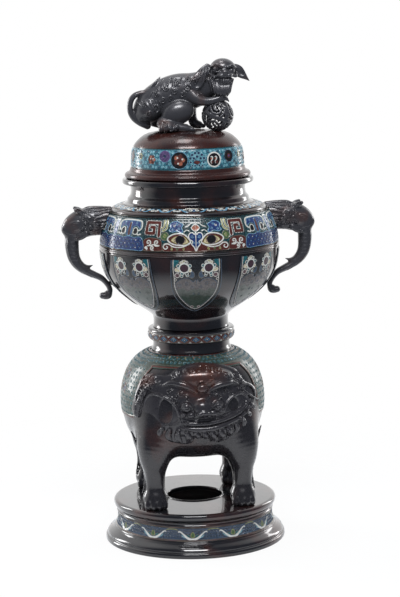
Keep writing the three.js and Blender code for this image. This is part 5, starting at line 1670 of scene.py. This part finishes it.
def enamel_piece(name: str, node: str, design: Enamel, wrap: Wrap, turns: Sequence[float], seams: Sequence[float],
        mirror: bool = True, body: Body = Body.BURNER) -> None:
    """Bends copies of a design round the axis, welds them and publishes the piece with the finishes that it shows.

    Args:
        name: The piece's name.
        node: The CAD node that it stands for.
        design: The design.
        wrap: The face that it lies on.
        turns: The angle of each copy in degrees from the front.
        seams: The u of the edges that are welded to a neighbour.
        mirror: Whether each copy has a mirrored twin on the other side of u = 0.
        body: The CAD body that it rides on.
    """
    points, faces, tones = closed_panel(design, wrap.thickness, seams)
    places, whole, numbers, count = [], [], [], 0
    for turn in turns:
        for side in (1, -1) if mirror else (1,):
            places.append(wrap.bend(points * (side, 1, 1), turn))
            whole += [[count + a for a in (face if side > 0 else face[::-1])] for face in faces]
            numbers.append(tones)
            count += len(points)
    places = np.vstack(places)
    _, first, merged = np.unique(np.round(places, 3), axis=0, return_index=True, return_inverse=True)
    merged = merged.ravel()
    whole = [[int(merged[a]) for a in face] for face in whole]
    good = [len(set(face)) == len(face) for face in whole]
    shown, numbers = np.unique(np.concatenate(numbers)[good], return_inverse=True)
    surface = Surface(places[first], [face for face, keep in zip(whole, good) if keep], numbers)
    publish(name, surface, body, [node], [list(Tone)[k].value for k in shown], crease=30)


BOWL_TURN = -1.8  # the angle in degrees by which the bowl's figures stand off the front


@dataclass
class Band:
    """A band of enamel: a unit that is drawn flat and laid several times round, often beside its mirror image."""

    name: str
    node: str
    slot: Slot
    profile: Rows
    radius: float
    count: int
    first: float = 0.0  # the first unit's angle in degrees from the front
    mirror: bool = True
    ground: Tone = GROUND
    grid: float = 4.0
    body: Body = Body.BURNER

    def draw(self, art: Enamel) -> None:
        """Draws the unit.

        Args:
            art: A design of the unit's size with nothing on it yet.
        """
        raise NotImplementedError

    def build(self) -> None:
        """Makes the band."""
        wrap = Wrap(self.profile, self.radius)
        wide, tall = wrap.degrees(360 / self.count / (2 if self.mirror else 1)), wrap.length()
        art = Enamel([(0, 0), (wide, 0), (wide, tall), (0, tall)], self.ground, self.grid)
        self.draw(art)
        turns = [self.first + 360 / self.count * k for k in range(self.count)]
        enamel_piece(f"{self.name}_wired", self.node, art, wrap, turns, (0, wide), self.mirror, self.body)


class MaskBand(Band):
    """The broad band on the shoulder: a beast mask three times round, each side a mirrored half."""

    def draw(self, art: Enamel) -> None:
        """Draws half a mask."""
        wide, tall = art.size
        art.keys((0, 3), (wide, tall - 2), 4.4, 0.26, TEAL)
        art.strip(0, 2, RED)
        art.strip(tall - 2.2, tall, GROUND)
        art.cell([(0, 2.6), (20, 2.4), (43, 2.6), (46, 8), (43, 13), (37, 14), (30, 11), (20, 10), (12, 12.5),
            (0, 13)], RED, WIRE, 0.3)
        art.cell([(48, 3), (72, 2.8), (74.5, 9), (73, 17), (66, 20.5), (54, 20), (48, 17), (46.6, 9)], RED, WIRE, 0.3)
        art.cell([(75, 3), (92, 2.4), (112, 2.4), (wide, 3), (wide, 19), (120, 21), (110, 19.5), (100, 21.5),
            (90, 20), (80, 21), (75, 15)], COBALT, SKY, 0.4)
        for row in range(3):
            for k in range(7):
                u, v = 79 + 7.6 * k + 3.8 * (row % 2), 5.5 + 5.2 * row
                art.wire([(u - 3.1, v - 1), (u - 2.2, v + 2), (u, v + 3.1), (u + 2.2, v + 2), (u + 3.1, v - 1)], 0.4,
                    NAVY)
                art.disc(u, v + 0.6, 0.85, (SKY, WHITE, SKY, GREEN)[(k + 2 * row) % 4], None)
        art.wire([(79.5, 25), (84.5, 24), (86, 28.5), (82, 30.5), (79, 34), (80, 41), (84, 44.4), (100, 45.4),
            (116, 44.4), (121, 41), (121.6, 34), (118.5, 30.5), (114.5, 28.5), (116, 24), (121, 25)], 1, WHITE)
        art.cell([(82, 33), (82.6, 41), (88, 43.4), (100, 44), (112, 43.4), (118, 41), (118.6, 33), (112, 36.5),
            (105.5, 34), (105, 23.4), (96, 23.4), (95, 34), (88, 36.5)], COBALT, SKY, 0.35)
        for side in (-1, 1):
            art.cell([(100.4 + side * a, b) for a, b in ((8, 25), (13.5, 24.5), (15.5, 29), (12.6, 33.6), (8.4, 32.8),
                (7.2, 28.6))], BLACK, WHITE, 0.6)
            art.scroll(100.4 + 11.5 * side, 40.4, 2.3, 90, side, 0.35, SKY)
        art.cell([(98, 24), (98.4, 40), (100.4, 42), (102.4, 40), (102.8, 24)], RED, SKY, 0.35)
        art.wire([(124.6, 24), (124.6, 42), (wide, 44)], 0.9, WHITE)
        art.cell([(126.4, 24), (wide, 23.6), (wide, 41), (126.6, 40)], COBALT, SKY, 0.3)
        key = [(51.4, 24.2), (51.4, 42.4), (70.2, 42.4), (70.2, 27), (59, 27), (59, 35.6), (63.4, 35.6)]
        art.wire(key, 3, WHITE, smooth=False)
        art.wire(key, 2.15, RED, smooth=False)
        for line in (((40.2, 46), (40.2, 37.6), (41.6, 33), (46, 30.6)), ((44.4, 46), (44.4, 39), (45.4, 35.6),
                (48, 34))):
            art.wire(line, 1.5, WHITE)
            art.wire(line, 0.95, LIME)
        art.cell([(37.5, 25), (41, 29), (46, 27.6), (48.6, 23), (46, 18.4), (40.4, 17.6), (38, 20.6)], GREEN, WIRE,
            0.4)
        art.scroll(43, 23, 3, 60, 1, 0.4, LIME)
        art.cell([(17.5, 29.4), (19.5, 35), (17.6, 39.5), (21.4, 42), (26, 44.6), (32.5, 43.6), (36.4, 39.6),
            (35, 35), (37, 31), (32, 29), (26, 30.4), (21.6, 28)], COBALT, SKY, 0.55)
        for u, v, tone in ((23, 34, SKY), (30, 38, WHITE), (25.5, 40, SKY), (32, 33, SKY)):
            art.scroll(u, v, 2.1, 40 * u, 1, 0.36, tone)
        art.cell([(0, 3.6), (2.6, 8), (5.8, 12), (4.2, 15.6), (8.4, 18.6), (9.8, 23.4), (7.6, 27.4), (3.6, 27.6),
            (1.6, 25.2), (0, 27)], COBALT, WHITE, 0.7)
        art.scroll(4.8, 22.6, 2.4, 200, 1, 0.36, SKY)
        art.scroll(2.6, 14, 1.5, 20, -1, 0.3, SKY)
        art.cell([(0, 30), (3.4, 31.4), (5.6, 34.6), (3.4, 38), (0, 39)], CORAL, WHITE, 0.55)
        art.wire([(0, 41.4), (5.6, 41.4), (10, 37.6), (14.5, 36.4)], 0.7, WHITE)
        art.wire([(8.4, 29.8), (12, 31.8), (16, 29)], 0.6, WHITE)
        art.cell([(7.4, 15), (11, 21.4), (17.4, 26.2), (26, 26.8), (34, 24.4), (38.6, 19.6), (35, 14.4), (27, 11.2),
            (18, 10.4), (11, 11.6)], RED, WHITE, 0.9)
        art.cell([(10.4, 14.8), (13.4, 20), (19.4, 23.4), (27, 22.6), (33.2, 18), (27.6, 13.8), (20.4, 12.4),
            (14.6, 12.8)], CREAM, LIME, 0.45)
        art.wire([(26.6, 21.2), (29.4, 18.2), (28.2, 15)], 0.4, RED)
        art.wire([(16, 21), (13.8, 17.6), (15, 14.4)], 0.4, RED)
        art.disc(21.4, 18, 6.1, BLACK, PLUM, 0.5)
        art.wire([(9.6, 13.4), (14, 9.8), (22, 7.8), (31, 8.8), (37, 12.4), (42, 12.2), (44.4, 8.4), (41.4, 5.4),
            (38.2, 7.4), (39.6, 9.4)], 0.75, WHITE)
        for u, tone, hand in ((17, LIME, 1), (25, GREEN, -1), (33, LIME, 1)):
            art.scroll(u, 5.4, 1.9, 90, hand, 0.4, tone)
        for u, v, size, hand in ((54, 14.4, 4, 1), (66, 14.2, 4.2, -1), (60, 6.8, 3.4, 1), (69.6, 6.4, 2.4, -1)):
            art.scroll(u, v, size, 250, hand, 0.8, WHITE, 1.2)
        art.wire([(50, 10), (55, 9.4), (58, 11.4), (62, 10), (67, 9.6)], 0.8, WHITE)


class ScrollBand(Band):
    """The narrow band above the masks: white curls and blue waves, mirrored at every half unit."""

    def draw(self, art: Enamel) -> None:
        """Draws half a unit of curls and waves."""
        tall = art.size[1]
        art.strip(0, 1.5, RED)
        art.strip(tall - 1.3, tall, RED)
        art.disc(0, 8, 2.6, COBALT, SKY, 0.4)
        art.wire([(7.6, 3.4, 0.5), (11.4, 4, 1.1), (14.6, 7.4, 1.5), (17.6, 11.2, 1.3), (21.6, 12.8, 0.7)], tone=SKY)
        art.wire([(24.4, 12.8, 0.6), (28.4, 12, 1.2), (31.4, 8.6, 1.5), (34.6, 4.8, 1.2), (38.6, 3.4, 0.7)], tone=SKY)
        art.wire([(10, 8.6, 0.4), (13, 12.4, 1), (16, 13.4, 0.5)], tone=TEAL)
        for u, v, size, start, hand in ((5.2, 8.2, 3.9, 80, 1), (13.6, 10.6, 2.4, 200, -1), (21.8, 7, 3.8, 110, 1),
                (26, 7.4, 3, 60, -1), (36.8, 9.8, 3.5, 250, 1)):
            art.scroll(u, v, size, start, hand, 1, WHITE, 0.85)
        for u, v in ((17.4, 5), (9.6, 11.6), (30.4, 4.6), (33.6, 12.2)):
            art.disc(u, v, 1, CORAL, None)


class LidBand(Band):
    """The lid's turquoise band, with seven different roundels three times round."""

    def draw(self, art: Enamel) -> None:
        """Draws a third of the band."""
        tall = art.size[1]
        for row in range(5):
            for k in range(33):
                u, v = 3.0 + 5.05 * k + (row % 2) * 1.2, 4.4 + 5.2 * row
                tone = FOAM if (k + row) % 3 else NAVY
                art.scroll(u, v, 2.3, 71 * k + 40 * row, 1 - 2 * (k % 2), 0.4, tone)
        art.strip(0, 1.4, NAVY)
        art.strip(tall - 1.4, tall, NAVY)
        places = [np.array([radians(angle) * self.radius, v]) for angle, v in ((9, 18.4), (25.7, 14.6), (40.8, 19.6),
            (55.9, 13.8), (73.7, 15.4), (91.7, 13.6), (110.3, 17.4))]
        small, red, purple, large, palmette, ring, dark = places
        art.disc(*small, 4.4, CREAM, GREEN, 0.4)
        art.disc(*small, 2.7, BLACK, GREEN, 0.4)
        art.flower(*red, 6.4, 6, (CORAL, RED), RED, RED)
        for side in (-1, 1):
            art.disc(*(red + (1.9 * side, 1.2)), 1.1, WHITE, None)
        art.disc(*purple, 8.4, PURPLE, SKY, 0.35)
        art.flower(*purple, 6, 5, (PURPLE,), NAVY, NAVY)
        art.disc(*large, 12, BLACK, SKY, 0.4)
        art.flower(*(large + (0, 0.4)), 8, 5, (CORAL, RED), RED, RED)
        for across, up in ((-2.6, 3.6), (4.4, 1.6), (-1.6, -4.2)):
            art.disc(*(large + (across, up)), 1.35, WHITE, None)
        for across, up, size in ((-9.4, 1, 2.2), (-6.8, 5.8, 2.1), (-2.4, 8.2, 2.2), (2.6, 8.2, 2.2), (7, 5.6, 2.2),
                (9.8, 1, 2.1), (-9, -4.4, 1.8), (9.2, -4.6, 1.8), (-4.6, 1, 2.2), (0.2, 3.2, 2.3), (5, 0.8, 2.2),
                (-3, -9.4, 1.6), (3, -9.4, 1.6), (-7, -9, 1.4), (7.4, -9, 1.4)):
            art.disc(*(palmette + (across, up)), size, NAVY, FOAM, 0.3)
        art.cell(palmette + [(-5, -4.6), (0, -2.2), (4.6, -4.6), (0, -7.6)], RED, NAVY, 0.4)
        art.disc(*ring, 10, BLACK, WHITE, 1)
        for side in (-1, 1):
            u = ring[0] + 3.2 * side
            art.disc(u + 0.6 * side, ring[1] - 3.4, 2.4, RED, None)
            art.wire([(u - 2.2, ring[1] + 3.8, 0.5), (u + 0.6, ring[1] + 4, 0.9), (u + 0.4, ring[1] + 0.6, 0.8),
                (u - 2, ring[1] - 2.4, 0.6), (u - 1.2, ring[1] - 5, 0.4)], tone=WHITE)
            art.disc(u - 1.2, ring[1] + 1.4, 1.4, CORAL, None)
        art.disc(*dark, 8.2, BLACK, NAVY, 0.4)
        art.disc(*dark, 3.4, RED, None)
        art.disc(*dark, 1.8, PURPLE, None)


class RingBand(Band):
    """The ring under the bowl: lozenges on red, mirrored twenty-four times round."""

    def draw(self, art: Enamel) -> None:
        """Draws half a lozenge."""
        wide, tall = art.size
        art.strip(0, 0.9, NAVY)
        art.strip(tall - 0.9, tall, NAVY)
        middle = tall / 2
        art.cell([(0, 1.3), (6.4, middle), (0, tall - 1.3), (-6.4, middle)], NAVY, WIRE, 0.3, False)
        art.cell([(0, 3), (3.6, middle), (0, tall - 3), (-3.6, middle)], NAVY, SKY, 0.45, False)
        art.disc(0, middle, 0.8, WHITE, None)
        for low, tip in ((0.9, 3.6), (tall - 0.9, tall - 3.6)):
            art.cell([(wide - 2.6, low), (wide, tip), (wide + 2.6, low)], WHITE, WIRE, 0.25, False)


class PlinthBand(Band):
    """The plinth's waist: white festoons on dark blue scrolls, twelve times round."""

    def draw(self, art: Enamel) -> None:
        """Draws half a festoon."""
        wide, tall = art.size
        for row in range(4):
            for k in range(7):
                u, v = 2.2 + 4.3 * k, 4.0 + 4.1 * row
                art.disc(u, v, 1.9, NAVY, SLATE, 0.35)
                art.scroll(u, v, 1.3, 80 * k, 1, 0.28, SLATE)
        art.strip(0, 1.9, MAUVE)
        art.strip(tall - 1.2, tall, RED)
        art.cell([(0, 5), (2.6, 7.4), (1.8, 11.6), (0, 12.6), (-1.8, 11.6), (-2.6, 7.4)], GREEN, LIME, 0.35)
        art.cell([(2.6, 5.6), (7.4, 6.6), (8.6, 9.4), (5.4, 9)], TEAL, WIRE, 0.3)
        art.wire([(0, 3, 0.9), (4.6, 3.3, 1.5), (9, 5.9, 1.5), (13, 9.5, 1.1), (16.6, 12.7, 0.9), (19.8, 13.9, 0.9),
            (20.6, 12.5, 0.5)], tone=WHITE)
        art.wire([(9.6, 4.6, 0.3), (13.4, 6.4, 0.5), (16.4, 9.6, 0.35)], tone=FOAM)
        art.wire([(21.6, 15.9, 0.35), (25.6, 17.1, 0.5), (wide, 17.3, 0.5)], tone=LIME)


@dataclass
class Petals:
    """Eight enamelled petals on the bowl, each with a pair of roundels over an arched field."""

    edge: Rows = ((35, 425.3), (35.6, 410), (35.5, 396), (33.4, 382), (27.4, 367.5), (17, 355), (7, 348.2),
        (0, 345.3))
    inner: Rows = ((31.6, 425.3), (31.8, 412), (30.4, 400), (29.9, 390), (27.6, 381), (22.6, 371), (15, 361.4),
        (6.6, 353.2), (0, 350.4))

    def draw(self, wrap: Wrap) -> Enamel:
        """Draws half a petal from places seen square from the front.

        Args:
            wrap: The petal's face.

        Returns:
            The design.
        """
        flat = wrap.flat
        edge = smooth_path(self.edge, 4)
        art = Enamel(flat((0, 345.3), (0, 425.3), *map(tuple, edge[:-1]))[::-1], GROUND, 4)
        field = [(0, 393.4), (4.6, 393.8), (8.6, 397.4), (13.6, 399.4), (20, 398.6), (26, 395), (28.4, 390.6),
            (27, 382.4), (22, 372.2), (14.6, 362.6), (6.2, 354.8), (0, 352.2)]
        art.cell(flat(*field), ASH, SLATE, 0.35)
        art.cell(flat((0, 380), (6, 383), (12, 380), (18, 384.6), (24, 383), (26.8, 381.4), (21.8, 372.2),
            (14.4, 362.8), (6, 355), (0, 352.4)), CELADON, None)
        art.cell(flat((0, 372), (5, 374.6), (11, 371), (17, 372.6), (19.6, 369.6), (14, 363), (5.8, 355.3),
            (0, 352.7)), MOSS, None)
        for across, level, size, tone in ((22.6, 389, 3.4, SLATE), (14, 391, 3.6, SLATE), (6, 387, 3.2, SLATE),
                (18, 377, 3.2, CELADON), (9, 366, 3, CELADON), (3, 376, 2.4, SLATE)):
            art.scroll(*wrap.at(across, level), size, 30 * across, 1 - 2 * (int(across) % 2), 0.3, tone, 1.2)
        art.cell(flat((24, 425), (31, 425), (31.2, 414), (27.2, 418), (24.6, 420.6)), TEAL, WIRE, 0.3)
        for across, level in ((26.6, 423), (29.6, 419.4), (29.4, 424)):
            art.disc(*wrap.at(across, level), 0.8, TURQUOISE, None)
        art.cell(flat((3, 406.4), (7.4, 410), (8.4, 405), (11, 401.6), (7, 399.4), (3.4, 401)), SLATE, WIRE, 0.3)
        art.wire(flat(*self.inner), 0.6, PEARL)
        art.wire(flat(*((row[0] * 0.975, row[1] + (0.0 if row[0] > 30 else 1)) for row in self.edge)), 0.45, SLATE)
        art.disc(*wrap.at(4.6, 354.6), 2.6, MAUVE, PEARL, 0.45)
        for across, level, size, tone in ((27, 411.2, 2.8, CREAM), (26.4, 403.6, 3.2, MAUVE),
                (29, 397.4, 1.7, GROUND), (17.4, 424.2, 2.2, LIME), (20.4, 402.6, 2, TEAL), (12.6, 403.2, 1.8, TEAL)):
            art.disc(*wrap.at(across, level), size, tone, PEARL, 0.5)
        middle = wrap.at(16.95, 413.6)
        for k in range(8):
            angle = radians(45 * k + 22)
            place = middle[0] + 8.3 * cos(angle), middle[1] + 8.3 * sin(angle)
            art.disc(*place, 2.3, (TEAL, CREAM, GROUND)[k % 3], WHITE, 0.5)
        art.wire(flat((12.6, 418.6), (14.6, 423.2), (17, 424.8), (19.4, 423.2), (21.6, 418.4)), 0.5, PEARL)
        art.disc(*middle, 6.6, GROUND, WHITE, 0.9)
        art.disc(*middle, 5, PLUM, None)
        return art

    def build(self) -> None:
        """Makes the petals."""
        wrap = Wrap(PROFILES.lower_bowl, 126, 1.1, 0.8)
        art = self.draw(wrap)
        for k in range(8):
            turns = [BOWL_TURN + 45 * k]
            enamel_piece(f"petal_{k + 1}_wired", f"lappet_{k + 1}", art, wrap, turns, (0,))


@dataclass
class SaddleCloth:
    """The cloth over the stand's back, with a band at the top and a flap on either flank."""

    edge: float = 59.0  # the flap's edge lies in this plane to the front and to the back
    hem: float = 188.8
    band: float = 263.5

    def build(self) -> None:
        """Makes the cloth as a quarter, mirrored twice."""
        wrap = Wrap(PROFILES.globe, 100, 1.1, 0.95)
        path = wrap.path()
        quarter, top, low, hem = wrap.degrees(90), wrap.length(), wrap.at(0, self.band)[1], wrap.at(0, self.hem)[1]
        front = []
        for level in (262, 250, 238, 226, 214, 203, 196):
            radius = float(np.interp(level, path[:, 1], path[:, 0]))
            front.append(wrap.at(sqrt(radius * radius - self.edge * self.edge), level))
        corner = [(front[-1][0] + 2.2, hem + 2.4), (front[-1][0] + 7, hem)]
        art = Enamel([(0, low), *((u, v) for u, v in front), *corner, (quarter, hem), (quarter, top), (0, top)], MOSS,
            4)
        for row in range(14):
            for k in range(19):
                u, v = 4 + 8.2 * k + 4.1 * (row % 2), hem + 6 + 7.6 * row
                if u > front[2][0] + 4 or v > low + 3:
                    tone = TURQUOISE if v > low else TEAL
                    art.scroll(u, v, 3, 67 * k + 31 * row, 1 - 2 * (k % 2), 0.42, tone)
        for k in range(9):
            art.disc(6 + 17.4 * k, top - 7.6, 1.7, (CORAL, LIME)[k % 2], WIRE, 0.35)
        for height in (40, 62):
            for k in range(2):
                art.flower(quarter - 20 * k, hem + height, 8, 6, (RED, SLATE), COBALT, WIRE)
        rim = [(0, low + 1.3), (front[0][0] - 3, low + 1.3), *((u + 1.5, v) for u, v in front),
            (corner[0][0] + 1.2, corner[0][1] + 1), (corner[1][0] + 0.6, hem + 1.3), (quarter, hem + 1.3)]
        art.wire(rim, 1.2, RED)
        art.wire([(0, top - 1.3), (quarter, top - 1.3)], 1.2, RED, smooth=False)
        inner = [(0, low + 3.4), (front[0][0], low + 3.4), *((u + 4.4, v) for u, v in front[1:-1]),
            (corner[1][0] + 1, hem + 4.4), (quarter, hem + 4.4)]
        art.wire(inner, 0.45, WIRE)
        enamel_piece("cloth_wired", "stand_cloth", art, wrap, (0, 180), (0, quarter))


# Hardware and studio


IRON = Iron()
HARDWARE = (*(f"paw_screw_{k}" for k in range(1, 5)), "tie_washer", "tie_bolt", "tie_bar", "tie_nut",
    "handle_screw_left", "handle_screw_right", "finial_stud_1", "finial_stud_2", "finial_nut_1", "finial_nut_2")


def dress_node(name: str, finish: Finish) -> None:
    """Gives a CAD node that stays a procedural finish.

    Args:
        name: The node's name.
        finish: The finish.
    """
    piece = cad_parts[name]
    for slot in piece.material_slots:
        slot.link = "OBJECT"
        slot.material = finish.material()


@dataclass
class Studio:
    """The white studio: floor, world, soft lamps and the camera."""

    focal: float = 111.56
    place: Triple = (-0.2765, -2.631, 0.7698)
    turn: Triple = (81, -6.3, -1.2)  # pitch, heading and roll in degrees
    reach: float = 0.9  # the floor's radius in metres
    fade: tuple[float, float] = (0.35, 0.85)  # how far out the floor starts to vanish and is gone, in metres
    glow: float = 0.9  # the share of its own light in what the camera sees of the floor
    white: Station = (1, 1, 1, 1)
    dim: Station = (0.11, 0.125, 0.16, 1)  # what polished metal mirrors from in front
    daylight: Station = (0.95, 0.98, 1, 1)
    aim: Triple = (0, 0, 0.35)
    lamps: tuple[tuple[str, Triple, tuple[float, float], float], ...] = (
        ("Key softbox", (-0.12, -1.15, 2), (0.9, 0.5), 26), ("Overhead softbox", (-0.1, 0.05, 2.4), (0.5, 0.5), 7),
        ("Left softbox", (-1.75, 1.2, 0.8), (0.5, 1.3), 20), ("Right softbox", (1.75, 1.35, 0.8), (0.4, 1.2), 8),
    )  # names, places and sizes in metres, and power in watts

    def camera(self) -> None:
        """Sets up the photograph's camera."""
        data = bpy.data.cameras.new("Camera")
        data.lens, data.sensor_width, data.sensor_fit = self.focal, 36, "AUTO"
        data.clip_end = 50
        camera = bpy.data.objects.new("Camera", data)
        pitch, heading, roll = (radians(a) for a in self.turn)
        turn = Matrix.Rotation(heading, 4, "Z") @ Matrix.Rotation(pitch, 4, "X") @ Matrix.Rotation(roll, 4, "Z")
        camera.matrix_world = Matrix.Translation(self.place) @ turn
        bpy.context.scene.collection.objects.link(camera)
        bpy.context.scene.camera = camera

    def floor(self) -> None:
        """Lays the white floor, which keeps the object's shadow and is painted darker towards its edge."""
        mesh, sides = bpy.data.meshes.new("Studio floor"), 64
        rim = [(self.reach * cos(a), self.reach * sin(a), 0) for a in np.arange(sides) * 2 * pi / sides]
        mesh.from_pydata(rim, [], [list(range(sides))])
        shader = Shader("Studio floor")
        apart = shader.node("VectorMath", {0: shader.place}, operation="LENGTH").outputs["Value"]
        # Painted shade: the floor's colour is lighter near the middle and darker towards its edge, a painted falloff
        # that also dims the floor where the metal mirrors it.
        paper_with_painted_falloff = shader.ramp(apart, [(0.2, (0.86, 0.87, 0.89)), (0.9, (0.8, 0.82, 0.85))])
        material = shader.finish(Base_Color=paper_with_painted_falloff, Roughness=0.9)
        glow = shader.node("Emission", {"Color": self.white, "Strength": 1.0})
        path = shader.node("LightPath")
        shown = shader.node("Math", {0: path.outputs["Is Camera Ray"], 1: self.glow}, operation="MULTIPLY")
        blend = shader.node("MixShader", {0: shown.outputs[0], 1: shader.principled.outputs[0], 2: glow.outputs[0]})
        start, end = self.fade
        fade = shader.ramp(apart, [(start, (0,)), (end, (1,))])
        clear = shader.node("BsdfTransparent")
        edge = shader.node("MixShader", {0: fade, 1: blend.outputs[0], 2: clear.outputs[0]})
        shader.feed(shader.tree.nodes["Material Output"].inputs["Surface"], edge.outputs[0])
        mesh.materials.append(material)
        floor = bpy.data.objects.new("Studio floor", mesh)
        bpy.context.scene.collection.objects.link(floor)

    def world(self) -> None:
        """Fills the world: white to the camera and behind the object, dim in front of it."""
        world = bpy.data.worlds.new("Studio")
        bpy.context.scene.world = world
        world.use_nodes = True
        wiring = Wiring(world.node_tree)
        wiring.tree.nodes.clear()
        path = wiring.node("LightPath")
        place = wiring.node("TexCoord").outputs["Generated"]
        behind = wiring.node("VectorMath", {0: place, 1: (-0.2, 1, 0)}, operation="DOT_PRODUCT")
        share = wiring.node("MapRange", {"Value": behind.outputs["Value"], "From Min": -0.1, "From Max": 0.35})
        shade = wiring.node("Mix", {0: share.outputs[0], 6: self.dim, 7: self.white}, data_type="RGBA")
        glossy = wiring.node("Background", {"Color": shade.outputs[2]})
        plain = wiring.node("Background", {"Color": self.daylight, "Strength": 0.6})
        seen = wiring.node("Background", {"Color": self.white})
        lit = wiring.node("MixShader", {0: path.outputs["Is Glossy Ray"], 1: plain.outputs[0], 2: glossy.outputs[0]})
        whole = wiring.node("MixShader", {0: path.outputs["Is Camera Ray"], 1: lit.outputs[0], 2: seen.outputs[0]})
        wiring.node("OutputWorld", {"Surface": whole.outputs[0]})

    def lamp(self, name: str, place: Triple, size: tuple[float, float], power: float) -> None:
        """Hangs a soft lamp.

        Args:
            name: Its name.
            place: Where it hangs, in metres.
            size: Its width and height.
            power: Its power in watts.
        """
        data = bpy.data.lights.new(name, "AREA")
        data.shape, data.size, data.size_y, data.energy = "RECTANGLE", *size, power
        lamp = bpy.data.objects.new(name, data)
        lamp.location = place
        lamp.rotation_mode = "QUATERNION"
        lamp.rotation_quaternion = (Vector(self.aim) - Vector(place)).to_track_quat("-Z", "Y")
        bpy.context.scene.collection.objects.link(lamp)

    def build(self) -> None:
        """Sets up the whole studio."""
        bpy.context.scene.view_settings.view_transform = "Standard"
        self.camera()
        self.floor()
        self.world()
        for name, place, size, power in self.lamps:
            self.lamp(name, place, size, power)


def main() -> None:
    """Builds every sub-assembly in order."""
    logging.basicConfig(level=logging.INFO, format="%(name)s: %(message)s")
    Studio().build()
    plinth_band = PlinthBand("plinth_band", "plinth_enamel", Slot.COBALT, PROFILES.plinth_band, 114.3, 12, -8)
    ring_band = RingBand("ring_band", "collar_enamel", Slot.TURQUOISE, PROFILES.ring_band, 62.5, 24, ground=RED)
    mask_band = MaskBand("mask_band", "mask_band_enamel", Slot.COBALT, PROFILES.mask_band, 124, 3, BOWL_TURN,
        grid=3.2)
    scroll_band = ScrollBand("scroll_band", "scroll_band_enamel", Slot.COBALT, PROFILES.scroll_band, 101.4, 8,
        BOWL_TURN)
    lid_band = LidBand("lid_band", "lid_enamel", Slot.TURQUOISE, PROFILES.lid_band, 80, 3, -70, False, TURQUOISE,
        body=Body.LID)
    parts = (Plinth(), plinth_band, Stand(), SaddleCloth(), StandMask(), NeckRings(), ring_band, Bowl(), Petals(),
        mask_band, scroll_band, Handle(), Lid(), lid_band, Lion(), Ball())
    for part in parts:
        part.build()
    for name in HARDWARE:
        dress_node(name, IRON)
    for name in ("handle_peg_left", "handle_peg_right"):
        dress_node(name, CAST)


if __name__ == "__main__":
    main()
